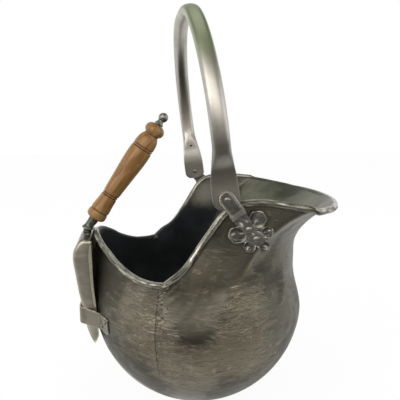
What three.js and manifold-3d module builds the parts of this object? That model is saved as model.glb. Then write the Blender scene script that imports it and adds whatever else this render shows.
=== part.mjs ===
// Coal scuttle: helmet-shaped sheet body, swinging bail, and a shovel in a strap behind it.
// Millimetres, +Z up. The origin is the centre of the flat base, and +X points to the spout.
import * as THREE from 'three';
import { mergeVertices } from 'three/addons/utils/BufferGeometryUtils.js';
import Module from 'manifold-3d';

const wasm = await Module();
wasm.setup();

// ---- driving dimensions ---------------------------------------------------------------

// body sheets
const BOWL_RADIUS = 128;          // outside of the round bowl
const CENTRE_HEIGHT = 115;        // bowl centre above the floor
const WALL = 1.2;                 // sheet thickness
const GAP = 0.3;                  // clearance between pieces that touch
const WAIST = [[90, 10.5], [130, 13], [180, 8]]; // how far the waist draws in, by degrees from the spout
const FRONT_WAIST_RISE = [-14, 46]; // heights between which the front draws in
const BACK_WAIST_RISE = [0, 60];  // the same, towards the back
const HEEL_WAIST_RISE = [48, 92];  // the same, behind the shovel
const LIP_FLARE = [[0, 42.1], [24, 45.1], [36, 47.2], [48, 50]]; // flare of the pouring lip, by degrees
const LIP_DEPTH = 58;             // height over which it flares
const LIP_POWER = 2.15;           // how sharply it turns out
const CHEEK_INSET = 15.9;         // flat cheek, inside the waist radius
const CHEEK_SPREAD = 0.3;         // cheek width gained for each unit forward
const CHEEK_RISE = [22, 98];      // heights between which the round wall turns flat
const CREASE_SOFTNESS = 3;        // rounding of the ridge between cheek and lip
const SEAM_ANGLE = 114;           // side seams, degrees round from the spout
const PAN_SEAM_HEIGHT = 62;       // joint between the bottom pan and the sheets
const PAN_PLAY = 0.8;             // its looseness there
const PAN_LAP = 8;                // height of the pan's edge inside the sheets

// rolled rim
const ROLL_RADIUS = 3.6;          // outside of the roll
const RIM_WIRE_RADIUS = 1.3;
const ROLL_TURN = 285;            // degrees of curl

// bail
const PIVOT_X = 12;
const PIVOT_RISE = 141;           // pivots above the bowl centre
const BAIL_HALF_SPAN = 127.8;     // middle of the flat ends, from the mid-plane
const BAIL_RISE = 197;            // crown above the pivots
const BAIL_POWER = 2.92;          // squareness of the arch
const BAIL_BULGE = 16.2;         // how far the legs bow out, halfway up
const BAIL_BOW = [0.06, 0.3];    // the bow sets in over this share of the rise
const BAIL_LEAN = 7.8;            // degrees back from upright in the rest pose
const BAIL_WIDTH = 18.1;
const BAIL_THICKNESS = 12.6;
const BAIL_TUBE_WALL = 1.5;
const BAIL_END_WIDTH = 27.5;
const BAIL_END_THICKNESS = 3.2;
const BAIL_END_BELOW = 10;        // flat end below the pivot
const BAIL_END_CORNER = 8.5;
const BAIL_FLAT_LENGTH = 38;      // flat part, from the tip
const BAIL_SPREAD = [19, 66];     // the ends widen over this stretch, from the tip
const VENT_RADIUS = 1.5;
const VENT_FROM_TIP = 48;

// lugs
const LUG_ANGLE = -52.5;          // strap direction in side view, degrees from +X
const LUG_WIDTH = 15.6;
const EAR_RADIUS = 8.2;
const EAR_INNER = 129.8;          // ear faces, from the mid-plane
const EAR_THICKNESS = 2.8;
const SHOULDER_START = 15.4;      // the strap slopes in to the cheek from here, along it from the pivot
const SHOULDER_END = 27;
const SHOULDER_THICKNESS = 4.2;
const LUG_PLATE = 2.6;            // plate thickness on the cheek
const LEAF_RADIUS = 9.6;
const PETAL_RADIUS = 6.6;
const LEAVES = [[38.6, 13.3], [40.5, -13.1]]; // along the strap, and across it
const PETALS = [[55, 12.6], [64.8, 1.8], [57.2, -10.4]];
const LUG_RIVET_AT = [42.4, 54.6];
const PIVOT_RADIUS = 2.6;
const PIVOT_HEAD_RADIUS = 3.5;
const LUG_RIVET_RADIUS = 2;
const LUG_RIVET_HEAD = 4.1;

// shovel strap
const STRAP_THICKNESS = 1.6;
const STRAP_HEIGHT = 19.5;
const STRAP_HALF_WIDTH = 40.2;    // outside of its two webs
const STRAP_BACK_X = -143.2;
const STRAP_EAR_REACH = 31.5;     // end of the ears, degrees round the bowl from the back
const STRAP_EAR_START = 22.2;
const STRAP_RISE = -6.5;          // middle of its back web, from the bowl centre
const STRAP_EAR_DROP = 4.6;       // how much lower its ears are
const STRAP_RIVETS = [[24.9, -14.2], [29, -7]];
const STRAP_RIVET_RADIUS = 1.7;
const STRAP_RIVET_HEAD = 3.1;

// shovel
const SCOOP_THICKNESS = 1.4;
const SCOOP_HALF_WIDTH = 37.6;
const SCOOP_CORNER = 3;
const SCOOP_TILT = 8.5;           // blade against the upright, degrees
const SCOOP_BACK = [              // back of the tray in side view: X, and height from the bowl centre
  [-129.2, 79.4], [-133, 80.1], [-136.9, 80.8], [-141.8, 76.4], [-145.8, 68.8], [-147, 59.4],
  [-145, 43], [-142.4, 24], [-139.2, 6], [-134.7, -20], [-130.6, -33.5], [-126, -43.3],
];
const SCOOP_EDGE = [              // free edge of its side walls, the same way
  [-127, 79], [-126.9, 70], [-126.6, 55], [-126.1, 30], [-123.6, 0], [-121.6, -33],
];
const NECK_X = -134.5;
const NECK_RIVET_X = -133;
const GRIP_FOOT = [-125, 100.3];
const GRIP_LEAN = 35.3;
const GRIP_LENGTH = 135;
const ROD_RADIUS = 3;
const NECK_RIVET_SPACING = 17;
const NECK_RIVET_RADIUS = 1.5;
const NECK_RIVET_HEAD = 2.8;
const BALL_RADIUS = 5.8;
const BALL_FROM_FOOT = 145.6;

// finishes
const DARK_STEEL = 0x5f5a50;
const BRIGHT_STEEL = 0x8d8577;
const TURNED_WOOD = 0x96602f;

// ---- small helpers --------------------------------------------------------------------

const rad = THREE.MathUtils.degToRad;
const mix = THREE.MathUtils.lerp;
const smooth = (from, to, x) => THREE.MathUtils.smoothstep(x, from, to);
const at = (x, y, z) => new THREE.Vector3(x, y, z);
const steps = (count) => Array.from({ length: count + 1 }, (_, i) => i / count);
const softMin = (a, b, k) => (a + b - Math.hypot(a - b, k)) / 2;

// A monotone cubic through rising [x, y] knots.
function follow(knots, x) {
  const last = knots.length - 1;
  if (x <= knots[0][0]) return knots[0][1];
  if (x >= knots[last][0]) return knots[last][1];
  const slope = (i) => (knots[i + 1][1] - knots[i][1]) / (knots[i + 1][0] - knots[i][0]);
  const tangent = (i) => {
    if (i === 0 || i === last) return slope(Math.min(i, last - 1));
    const before = slope(i - 1);
    const after = slope(i);
    return before * after <= 0 ? 0 : (2 * before * after) / (before + after);
  };
  let i = 0;
  while (x > knots[i + 1][0]) i += 1;
  const width = knots[i + 1][0] - knots[i][0];
  const t = (x - knots[i][0]) / width;
  const rise = (t * t) * (3 - 2 * t);
  return mix(knots[i][1], knots[i + 1][1], rise)
    + width * (tangent(i) * t * (1 - t) ** 2 - tangent(i + 1) * t * t * (1 - t));
}

function signedVolume(points, faces) {
  let volume = 0;
  for (const [a, b, c] of faces) {
    volume += points[a].dot(points[b].clone().cross(points[c])) / 6;
  }
  return volume;
}

// A closed geometry from points and triangles, with its faces pointing out.
function closedGeometry(points, faces) {
  const outward = signedVolume(points, faces) > 0;
  const geometry = new THREE.BufferGeometry();
  geometry.setAttribute('position', new THREE.Float32BufferAttribute(points.flatMap((p) => p.toArray()), 3));
  geometry.setIndex(faces.flatMap(([a, b, c]) => (outward ? [a, b, c] : [a, c, b])));
  return geometry;
}

// A sheet with one face on the grid and the other face one thickness away along its normals.
// With upright ends, its first and last rows stay in upright planes through the Z axis.
function sheetSolid(grid, thickness, uprightEnds = false) {
  const rows = grid.length;
  const columns = grid[0].length;
  const cellNormal = (i, j) => {
    const along = grid[i + 1][j + 1].clone().sub(grid[i][j]);
    const across = grid[i][j + 1].clone().sub(grid[i + 1][j]);
    return along.cross(across).normalize();
  };
  const offset = (i, j) => {
    const normal = at(0, 0, 0);
    let cells = 0;
    for (const a of [i - 1, i]) {
      for (const b of [j - 1, j]) {
        if (a < 0 || b < 0 || a > rows - 2 || b > columns - 2) continue;
        normal.add(cellNormal(a, b));
        cells += 1;
      }
    }
    normal.multiplyScalar((thickness * cells) / normal.lengthSq());
    if (!uprightEnds || (i > 0 && i < rows - 1)) return normal;
    const sideways = at(-grid[i][j].y, grid[i][j].x, 0).normalize();
    return normal.addScaledVector(sideways, -normal.dot(sideways));
  };
  const points = grid.flat();
  grid.forEach((row, i) => row.forEach((p, j) => points.push(p.clone().add(offset(i, j)))));
  const half = rows * columns;
  const id = (i, j, far) => i * columns + j + (far ? half : 0);
  const faces = [];
  const quad = (a, b, c, d) => faces.push([a, b, c], [a, c, d]);
  for (let i = 0; i < rows - 1; i += 1) {
    for (let j = 0; j < columns - 1; j += 1) {
      quad(id(i, j), id(i, j + 1), id(i + 1, j + 1), id(i + 1, j));
      quad(id(i, j, true), id(i + 1, j, true), id(i + 1, j + 1, true), id(i, j + 1, true));
    }
    quad(id(i, 0), id(i + 1, 0), id(i + 1, 0, true), id(i, 0, true));
    quad(id(i + 1, columns - 1), id(i, columns - 1), id(i, columns - 1, true), id(i + 1, columns - 1, true));
  }
  for (let j = 0; j < columns - 1; j += 1) {
    quad(id(0, j + 1), id(0, j), id(0, j, true), id(0, j + 1, true));
    quad(id(rows - 1, j), id(rows - 1, j + 1), id(rows - 1, j + 1, true), id(rows - 1, j, true));
  }
  return closedGeometry(points, faces);
}

// A solid through rings of points, with flat ends.
function loftSolid(rings) {
  const count = rings[0].length;
  const points = rings.flat();
  const faces = [];
  for (let i = 0; i < rings.length - 1; i += 1) {
    for (let j = 0; j < count; j += 1) {
      const k = (j + 1) % count;
      const [a, b] = [i * count + j, i * count + k];
      faces.push([a, b, b + count], [a, b + count, a + count]);
    }
  }
  const last = (rings.length - 1) * count;
  for (let j = 1; j < count - 1; j += 1) {
    faces.push([0, j + 1, j], [last, last + j, last + j + 1]);
  }
  return closedGeometry(points, faces);
}

// A round solid about Z from [radius, height] pairs that start and end on the axis or close.
function turned(profile, segments) {
  const outline = profile.map(([r, h]) => new THREE.Vector2(r, h));
  return new THREE.LatheGeometry(outline, segments).rotateX(Math.PI / 2);
}

function toManifold(geometry) {
  const bare = geometry.clone();
  for (const name of Object.keys(bare.attributes)) {
    if (name !== 'position') bare.deleteAttribute(name);
  }
  const merged = mergeVertices(bare, 1e-4);
  const vertProperties = new Float32Array(merged.attributes.position.array);
  const triVerts = new Uint32Array(merged.index.array);
  return new wasm.Manifold(new wasm.Mesh({ numProp: 3, vertProperties, triVerts }));
}

function fromManifold(solid) {
  const mesh = solid.getMesh();
  const geometry = new THREE.BufferGeometry();
  geometry.setAttribute('position', new THREE.BufferAttribute(mesh.vertProperties, 3));
  geometry.setIndex(new THREE.BufferAttribute(mesh.triVerts, 1));
  return geometry;
}

function cut(geometry, tools) {
  const rest = tools.reduce((solid, tool) => solid.subtract(toManifold(tool)), toManifold(geometry));
  return fromManifold(rest);
}

const join = (pieces) => fromManifold(pieces.map(toManifold).reduce((a, b) => a.add(b)));

// A mirroring turns a solid inside out, and this turns its triangles back.
function turnFaces(geometry) {
  const index = geometry.index.array.slice();
  for (let i = 0; i < index.length; i += 3) {
    [index[i + 1], index[i + 2]] = [index[i + 2], index[i + 1]];
  }
  return geometry.setIndex(new THREE.BufferAttribute(index, 1));
}

const mirrored = (geometry) => turnFaces(geometry.clone().scale(1, -1, 1));

// Turns a shape built about +Z so that its axis runs along a direction from a point.
function aim(geometry, point, direction) {
  const turn = new THREE.Quaternion().setFromUnitVectors(at(0, 0, 1), direction.clone().normalize());
  return geometry.applyQuaternion(turn).translate(point.x, point.y, point.z);
}

// ---- body surface ---------------------------------------------------------------------

// Rim height above the bowl centre, by degrees round from the spout.
const FRONT_RIM = [
  [0, 124.2], [24, 124.5], [36, 126.3], [48, 129], [53, 130.2], [58, 132.6], [66, 135.2], [76, 132],
  [80, 126.5], [90, 100.5], [101, 71.7], [SEAM_ANGLE, 48],
];
const BACK_RIM = [
  [SEAM_ANGLE, 48], [120, 47.3], [127, 48.5], [133.5, 51.6], [147, 62.8], [155, 71.3],
  [167, 80], [180, 84.4],
];
const LIP_LEVEL = [
  [0, 124.2], [24, 124.5], [36, 126.3], [48, 129], [54.5, 129.5], [62.4, 123.4], [67.7, 116],
  [76, 100], [90, 92],
];

const fold = (degrees) => Math.min(Math.abs(degrees), 360 - Math.abs(degrees));
const bowlRadiusAt = (rise) => Math.sqrt(BOWL_RADIUS ** 2 - rise ** 2);

// Outside radius of the wall: degrees round from the spout, and rise above the bowl centre.
function wallRadius(degrees, rise) {
  const angle = fold(degrees);
  const backward = smooth(85, 140, angle);
  const drawnAside = mix(
    smooth(...FRONT_WAIST_RISE, rise),
    smooth(...BACK_WAIST_RISE, rise),
    backward,
  );
  const drawn = mix(drawnAside, smooth(...HEEL_WAIST_RISE, rise), smooth(148, 174, angle));
  const waist = bowlRadiusAt(Math.min(rise, 0)) - follow(WAIST, angle) * drawn;
  const flare = Math.max(0, 1 - (follow(LIP_LEVEL, angle) - rise) / LIP_DEPTH) ** LIP_POWER;
  const lip = waist + follow(LIP_FLARE, angle) * flare * (1 - smooth(85, 100, angle));
  const flatness = smooth(...CHEEK_RISE, rise);
  const reach = Math.sin(rad(angle)) - CHEEK_SPREAD * flatness * Math.cos(rad(angle));
  if (reach < 0.3) return lip;
  const cheek = cheekAt(0, rise) / reach + 25 * smooth(100, 125, angle);
  return softMin(lip, cheek, CREASE_SOFTNESS * smooth(5, 40, rise));
}

// Distance of the flat cheek's outside from the mid-plane.
function cheekAt(x, rise) {
  const flatness = smooth(...CHEEK_RISE, rise);
  const waist = BOWL_RADIUS - WAIST[0][1] * smooth(...FRONT_WAIST_RISE, rise);
  return waist - CHEEK_INSET * flatness + CHEEK_SPREAD * flatness * x;
}

// A point of the wall, inset from its outside.
function wallPoint(degrees, rise, inset) {
  const radius = wallRadius(degrees, rise) - inset;
  return at(radius * Math.cos(rad(degrees)), radius * Math.sin(rad(degrees)), rise + CENTRE_HEIGHT);
}

// One sheet: inside face from the pan seam up to the rim, and then round the outward roll.
function rimFrame(columns, j) {
  const top = columns[0].length - 1;
  const before = columns[Math.max(j - 1, 0)][top];
  const after = columns[Math.min(j + 1, columns.length - 1)][top];
  const along = after.clone().sub(before).normalize();
  const edge = columns[j][top];
  const up = edge.clone().sub(columns[j][top - 1]);
  up.addScaledVector(along, -up.dot(along)).normalize();
  return { edge, up, along, out: along.clone().cross(up).normalize() };
}

// Slides a point along the rim until it lies in the upright plane of the side seam.
function mitre(point, edge, along) {
  const plane = at(-edge.y, edge.x, 0).normalize();
  const past = point.clone().sub(edge).dot(plane) / along.dot(plane);
  return point.addScaledVector(along, -past);
}

const ROLL_STEPS = 6;

function sheetColumns(angles, rimHeight, rows) {
  const low = PAN_SEAM_HEIGHT - CENTRE_HEIGHT;
  return angles.map((angle) => {
    const high = rimHeight(Math.abs(angle));
    return steps(rows).map((t) => wallPoint(angle, mix(low, high, 1 - (1 - t) ** 1.5), WALL));
  });
}

function rolledSheet(angles, rimHeight, rows) {
  const columns = sheetColumns(angles, rimHeight, rows);
  const grid = columns.map((column, j) => {
    const { edge, up, along, out } = rimFrame(columns, j);
    if (out.dot(at(edge.x, edge.y, 0)) < 0) out.negate();
    const seam = j === 0 || j === columns.length - 1;
    const place = (point) => (seam ? mitre(point, edge, along) : point);
    const centre = place(edge.clone().addScaledVector(out, ROLL_RADIUS));
    const roll = steps(ROLL_STEPS).slice(1).map((t) => {
      const turn = rad(ROLL_TURN * t);
      return place(centre.clone()
        .addScaledVector(out, -ROLL_RADIUS * Math.cos(turn))
        .addScaledVector(up, ROLL_RADIUS * Math.sin(turn)));
    });
    return { centre, points: [...column, ...roll] };
  });
  return {
    sheet: sheetSolid(grid.map((g) => g.points), WALL, true),
    centres: grid.map((g) => g.centre),
  };
}

// A wire of round section along the middle of a roll.
function wireAlong(centres, radius, sides) {
  const rings = centres.map((centre, j) => {
    const before = centres[Math.max(j - 1, 0)];
    const after = centres[Math.min(j + 1, centres.length - 1)];
    const along = after.clone().sub(before).normalize();
    const out = at(centre.x, centre.y, 0).normalize();
    const up = along.clone().cross(out).normalize();
    const side = up.clone().cross(along);
    const seam = j === 0 || j === centres.length - 1;
    return steps(sides).slice(1).map((t) => {
      const point = centre.clone()
        .addScaledVector(side, radius * Math.cos(2 * Math.PI * t))
        .addScaledVector(up, radius * Math.sin(2 * Math.PI * t));
      return seam ? mitre(point, centre, along) : point;
    });
  });
  return loftSolid(rings);
}

const SEAM_STEP = 0.1;            // half of the gap at a side seam, in degrees
const ROWS = 11;
const frontHalf = [
  0, 8, 16, 24, 32, 39, 45, 49, 52, 55, 59, 63, 67, 71, 74.5, 78, 82, 87, 92.5, 98, 103.5,
  109, SEAM_ANGLE - SEAM_STEP,
];
const backHalf = [SEAM_ANGLE + SEAM_STEP, 119, 125, 132, 139, 146, 153, 160, 167, 173.5, 180];
const frontAngles = [...frontHalf.slice(1).reverse().map((a) => -a), ...frontHalf];
const backAngles = [...backHalf, ...backHalf.slice(0, -1).reverse().map((a) => 360 - a)];
const frontShell = rolledSheet(frontAngles, (a) => follow(FRONT_RIM, a), ROWS);
const backShell = rolledSheet(backAngles, (a) => follow(BACK_RIM, fold(a)), ROWS - 2);

// The pan: flat base, bowl curve, and an edge stepped in to lap inside the sheets.
function bottomPan() {
  const lowest = Math.acos(-CENTRE_HEIGHT / BOWL_RADIUS);
  const outer = [[0, 0]];
  const curve = (height, inset) => [bowlRadiusAt(height - CENTRE_HEIGHT) - inset, height];
  const shoulder = GAP + WALL * 0.7;
  const top = Math.acos((PAN_SEAM_HEIGHT - shoulder - CENTRE_HEIGHT) / BOWL_RADIUS);
  for (const t of steps(7)) {
    const angle = mix(lowest, top, t);
    outer.push([BOWL_RADIUS * Math.sin(angle), CENTRE_HEIGHT + BOWL_RADIUS * Math.cos(angle)]);
  }
  const step = WALL + GAP + PAN_PLAY;
  const lap = [-shoulder, PAN_LAP / 2, PAN_LAP].map((above) => curve(PAN_SEAM_HEIGHT + above, step));
  const inside = [
    curve(PAN_SEAM_HEIGHT + PAN_LAP, step + WALL),
    curve(PAN_SEAM_HEIGHT - step, step + WALL),
  ];
  const innerRadius = BOWL_RADIUS - WALL;
  const innerLow = Math.acos((WALL - CENTRE_HEIGHT) / innerRadius);
  for (const t of steps(6)) {
    const angle = mix(top + 0.05, innerLow, t);
    inside.push([innerRadius * Math.sin(angle), CENTRE_HEIGHT + innerRadius * Math.cos(angle)]);
  }
  return turned([...outer, ...lap, ...inside, [0, WALL]], 36);
}

// ---- lugs -----------------------------------------------------------------------------

const lugCos = Math.cos(rad(LUG_ANGLE));
const lugSin = Math.sin(rad(LUG_ANGLE));
const PIVOT_HEIGHT = PIVOT_RISE + CENTRE_HEIGHT;

// Side view point of the lug: along its strap from the pivot, and across it.
function lugXZ(along, across) {
  const x = PIVOT_X + along * lugCos - across * lugSin;
  return [x, PIVOT_HEIGHT + along * lugSin + across * lugCos];
}

const cheekOutside = (x, z) => cheekAt(x, z - CENTRE_HEIGHT) + GAP;

// Lays a flat ornament on the cheek: its X runs along the strap, its Z is its height.
function drape(geometry) {
  const position = geometry.attributes.position;
  for (let i = 0; i < position.count; i += 1) {
    const [x, z] = lugXZ(position.getX(i), position.getY(i));
    position.setXYZ(i, x, cheekOutside(x, z) + position.getZ(i), z);
  }
  return turnFaces(geometry);
}

function petal(along, across, radius, height, lift) {
  const profile = [
    [0, lift], [radius, lift], [radius, height - 1], [radius - 1.2, height],
    [radius - 3, height - 1.5], [0, height - 2],
  ];
  return turned(profile, 12).translate(along, across, 0);
}

function lugStrap() {
  const stations = [
    [-EAR_RADIUS + 0.3, 2.2], [-EAR_RADIUS * 0.8, 4.9], [-EAR_RADIUS * 0.5, 7.1],
    [0, EAR_RADIUS], [6, LUG_WIDTH / 2], [SHOULDER_START - 0.6, LUG_WIDTH / 2],
    [SHOULDER_START, LUG_WIDTH / 2 + 0.5], [SHOULDER_END, LUG_WIDTH / 2 + 0.5],
    [SHOULDER_END + 0.6, LUG_WIDTH / 2], [LUG_RIVET_AT[0], LUG_WIDTH / 2 - 1],
    [LUG_RIVET_AT[1], LUG_WIDTH / 2 - 1.6],
  ];
  const faces = (along, across) => {
    const [x, z] = lugXZ(along, across);
    const cheek = cheekOutside(x, z);
    if (along < SHOULDER_START) return [EAR_INNER, EAR_INNER + EAR_THICKNESS];
    if (along === SHOULDER_START) return [EAR_INNER, EAR_INNER + SHOULDER_THICKNESS];
    return [cheek, cheek + (along === SHOULDER_END ? SHOULDER_THICKNESS : LUG_PLATE)];
  };
  const rings = stations.map(([along, half]) => {
    const [innerLow, outerLow] = faces(along, -half);
    const [innerHigh, outerHigh] = faces(along, half);
    const corner = (across, y) => {
      const [x, z] = lugXZ(along, across);
      return at(x, y, z);
    };
    return [corner(-half, innerLow), corner(half, innerHigh), corner(half, outerHigh), corner(-half, outerLow)];
  });
  return loftSolid(rings);
}

// A pin along Y for cutting or riveting, between two distances from the mid-plane.
function crossPin(x, z, from, to, radius, sides = 12) {
  const pin = new THREE.CylinderGeometry(radius, radius, to - from, sides);
  return pin.translate(x, (from + to) / 2, z);
}

const RIVET_SIDES = 8;

// A rivet along +Z: domed head above the stated grip, shaft, and a low inner head below it.
function rivet(shaft, head, grip, dome) {
  return turned([
    [0, -GAP - 1.2], [head * 0.8, -GAP - 1.1], [head * 0.8, -GAP], [shaft, -GAP], [shaft, grip + GAP],
    [head, grip + GAP], [head * 0.86, grip + GAP + dome * 0.55],
    [head * 0.5, grip + GAP + dome * 0.9], [0, grip + GAP + dome],
  ], RIVET_SIDES);
}

function lugBody() {
  const boss = turned([[0, 0.15], [8.6, 0.15], [8.6, LUG_PLATE - 0.5], [0, LUG_PLATE]], 16);
  const ornament = [
    ...LEAVES.map(([along, across]) => petal(along, across, LEAF_RADIUS, 4.2, 0.3)),
    ...PETALS.map(([along, across]) => petal(along, across, PETAL_RADIUS, 3.9, 0.6)),
    boss.translate(LUG_RIVET_AT[1], 0, 0),
  ];
  const pieces = [...ornament.map(drape), lugStrap()];
  const holes = LUG_RIVET_AT.map((along) => {
    const [x, z] = lugXZ(along, 0);
    return crossPin(x, z, 90, 160, LUG_RIVET_RADIUS + GAP);
  });
  return cut(join(pieces), [...holes, crossPin(PIVOT_X, PIVOT_HEIGHT, 90, 160, PIVOT_RADIUS + GAP, 16)]);
}

// The wall slopes behind the plate, so the inner heads sit off the innermost wall under them.
function lugRivet(along) {
  const [x, z] = lugXZ(along, 0);
  const reach = LUG_RIVET_HEAD;
  const spots = [[-reach, 0], [reach, 0], [0, -reach], [0, reach], [0, 0]];
  const inner = Math.min(...spots.map(([dx, dz]) => wallDepth(x + dx, z + dz))) - WALL - GAP;
  const outer = Math.max(...spots.map(([dx, dz]) => cheekOutside(x + dx, z + dz))) + LUG_PLATE;
  const shape = rivet(LUG_RIVET_RADIUS, LUG_RIVET_HEAD, outer - inner, 2.4);
  return aim(shape, at(x, inner, z), at(0, 1, 0));
}

// Distance from the mid-plane to the outside of the wall, at a point of the side view.
function wallDepth(x, z) {
  let low = 60;
  let high = 150;
  for (let i = 0; i < 24; i += 1) {
    const y = (low + high) / 2;
    const inside = Math.hypot(x, y) < wallRadius(THREE.MathUtils.radToDeg(Math.atan2(y, x)), z - CENTRE_HEIGHT);
    if (inside) low = y;
    else high = y;
  }
  return low;
}

const bailInner = BAIL_HALF_SPAN - BAIL_END_THICKNESS / 2;

function pivotRivet() {
  const grip = EAR_INNER + EAR_THICKNESS - bailInner;
  const shape = rivet(PIVOT_RADIUS, PIVOT_HEAD_RADIUS, grip, 2.4);
  return aim(shape, at(PIVOT_X, bailInner, PIVOT_HEIGHT), at(0, 1, 0));
}

// ---- bail -----------------------------------------------------------------------------

const bailUp = at(-Math.sin(rad(BAIL_LEAN)), 0, Math.cos(rad(BAIL_LEAN)));
const bailAcross = at(Math.cos(rad(BAIL_LEAN)), 0, Math.sin(rad(BAIL_LEAN)));

function bailPath() {
  const pivot = at(PIVOT_X, 0, PIVOT_HEIGHT);
  const arch = steps(120).map((t) => {
    const angle = Math.PI * t;
    const side = -Math.sign(Math.cos(angle)) * Math.abs(Math.cos(angle)) ** (2 / BAIL_POWER);
    const level = Math.sin(angle) ** (2 / BAIL_POWER);
    const half = BAIL_HALF_SPAN + BAIL_BULGE * Math.sin(Math.PI * level) * smooth(...BAIL_BOW, level);
    return pivot.clone().addScaledVector(bailUp, BAIL_RISE * level).add(at(0, half * side, 0));
  });
  const tip = (side) => pivot.clone().addScaledVector(bailUp, -BAIL_END_BELOW).add(at(0, side * BAIL_HALF_SPAN, 0));
  return new THREE.CatmullRomCurve3([tip(-1), ...arch, tip(1)], false, 'centripetal');
}

const bailCurve = bailPath();
bailCurve.arcLengthDivisions = 1200;
const bailLength = bailCurve.getLength();

function bailSection(fromTip) {
  const corner = Math.max(0, BAIL_END_CORNER - fromTip);
  const rounding = BAIL_END_CORNER - Math.sqrt(BAIL_END_CORNER ** 2 - corner ** 2);
  const width = mix(BAIL_END_WIDTH, BAIL_WIDTH, smooth(...BAIL_SPREAD, fromTip));
  const swell = smooth(BAIL_FLAT_LENGTH, BAIL_FLAT_LENGTH * 1.6, fromTip);
  return {
    half: width / 2 - rounding,
    depth: mix(BAIL_END_THICKNESS, BAIL_THICKNESS, swell) / 2,
    squareness: mix(6, 2.3, swell),
  };
}

function bailRing(distance, inset, sides) {
  const t = THREE.MathUtils.clamp(distance / bailLength, 0, 1);
  const centre = bailCurve.getPointAt(t);
  const along = bailCurve.getTangentAt(t);
  const normal = along.clone().cross(bailAcross).normalize();
  const { half, depth, squareness } = bailSection(Math.min(distance, bailLength - distance));
  return steps(sides).slice(1).map((s) => {
    const angle = 2 * Math.PI * s;
    const shape = (value, size) => Math.sign(value) * Math.abs(value) ** (2 / squareness) * (size - inset);
    return centre.clone()
      .addScaledVector(bailAcross, shape(Math.cos(angle), half))
      .addScaledVector(normal, shape(Math.sin(angle), depth));
  });
}

function bailHandle() {
  const ends = [0, 2, 5, BAIL_END_CORNER, 19, 30, BAIL_FLAT_LENGTH, 44, 50, 56, 62, 76];
  const middle = steps(20).map((t) => mix(76, bailLength - 76, t)).slice(1, -1);
  const stations = [...ends, ...middle, ...ends.map((d) => bailLength - d).reverse()];
  const outside = loftSolid(stations.map((d) => bailRing(d, 0, 12)));
  const boreEnd = 44;
  const inside = stations.filter((d) => d >= boreEnd && d <= bailLength - boreEnd);
  const bore = loftSolid(inside.map((d) => bailRing(d, BAIL_TUBE_WALL, 8)));
  const spot = bailCurve.getPointAt(1 - VENT_FROM_TIP / bailLength);
  const vent = crossPin(spot.x, spot.z, spot.y - BAIL_THICKNESS, spot.y, VENT_RADIUS, 8);
  const holes = [-1, 1].map((side) => {
    const y = side * BAIL_HALF_SPAN;
    return crossPin(PIVOT_X, PIVOT_HEIGHT, y - 5, y + 5, PIVOT_RADIUS + GAP, 16);
  });
  return cut(outside, [bore, vent, ...holes]);
}

// ---- shovel strap ---------------------------------------------------------------------

// Inner face of the strap on one side, from the middle of its back to the end of an ear,
// as upright rows of points. The ears lie on the bowl.
function strapSide() {
  const backX = STRAP_BACK_X + STRAP_THICKNESS;
  const half = STRAP_HALF_WIDTH - STRAP_THICKNESS;
  const earX = -BOWL_RADIUS * Math.cos(rad(STRAP_EAR_START));
  const web = [[backX, 0], [backX, half - 5], [backX + 1.5, half - 1.5], [backX + 5, half]];
  const edges = [-STRAP_HEIGHT / 2, 0, STRAP_HEIGHT / 2];
  const webRows = web.map(([x, y]) => {
    const drop = (STRAP_EAR_DROP * (x - backX)) / (earX - backX);
    return edges.map((edge) => at(x, y, CENTRE_HEIGHT + STRAP_RISE - drop + edge));
  });
  const earRows = steps(3).map((t) => edges.map((edge) => {
    const degrees = 180 - mix(STRAP_EAR_START, STRAP_EAR_REACH, t);
    return wallPoint(degrees, STRAP_RISE - STRAP_EAR_DROP + edge, -GAP);
  }));
  return [...webRows, ...earRows];
}

function strapBand() {
  const side = strapSide();
  const other = side.slice(1).reverse().map((row) => row.map((p) => at(p.x, -p.y, p.z)));
  const band = sheetSolid([...other, ...side], -STRAP_THICKNESS);
  return cut(band, strapRivetPlaces().map(strapHole));
}

function strapRivetPlaces() {
  return STRAP_RIVETS.flatMap(([degrees, rise], i) => [-1, 1].map((side) => {
    const direction = at(-Math.cos(rad(degrees)), side * Math.sin(rad(degrees)), 0);
    const name = `loop_rivet_${['low', 'high'][i]}_${side > 0 ? 'left' : 'right'}`;
    return { direction, name, height: rise + CENTRE_HEIGHT };
  }));
}

function strapHole({ direction, height }) {
  const radius = STRAP_RIVET_RADIUS + GAP;
  const hole = turned([[0, 0], [radius, 0], [radius, 40], [0, 40]], 10);
  const start = direction.clone().multiplyScalar(BOWL_RADIUS - 20).add(at(0, 0, height));
  return aim(hole, start, direction);
}

function strapRivet({ direction, height }) {
  const bowl = bowlRadiusAt(height - CENTRE_HEIGHT);
  const inner = bowl - WALL - 3 * GAP;
  const grip = bowl + GAP + STRAP_THICKNESS + GAP - inner;
  const start = direction.clone().multiplyScalar(inner).add(at(0, 0, height));
  return aim(rivet(STRAP_RIVET_RADIUS, STRAP_RIVET_HEAD, grip, 1.6), start, direction);
}

// ---- shovel ---------------------------------------------------------------------------

const scoopUp = at(-Math.sin(rad(SCOOP_TILT)), 0, Math.cos(rad(SCOOP_TILT)));
const gripUp = at(Math.sin(rad(GRIP_LEAN)), 0, Math.cos(rad(GRIP_LEAN)));
const gripFoot = at(GRIP_FOOT[0], 0, GRIP_FOOT[1] + CENTRE_HEIGHT);

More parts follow.
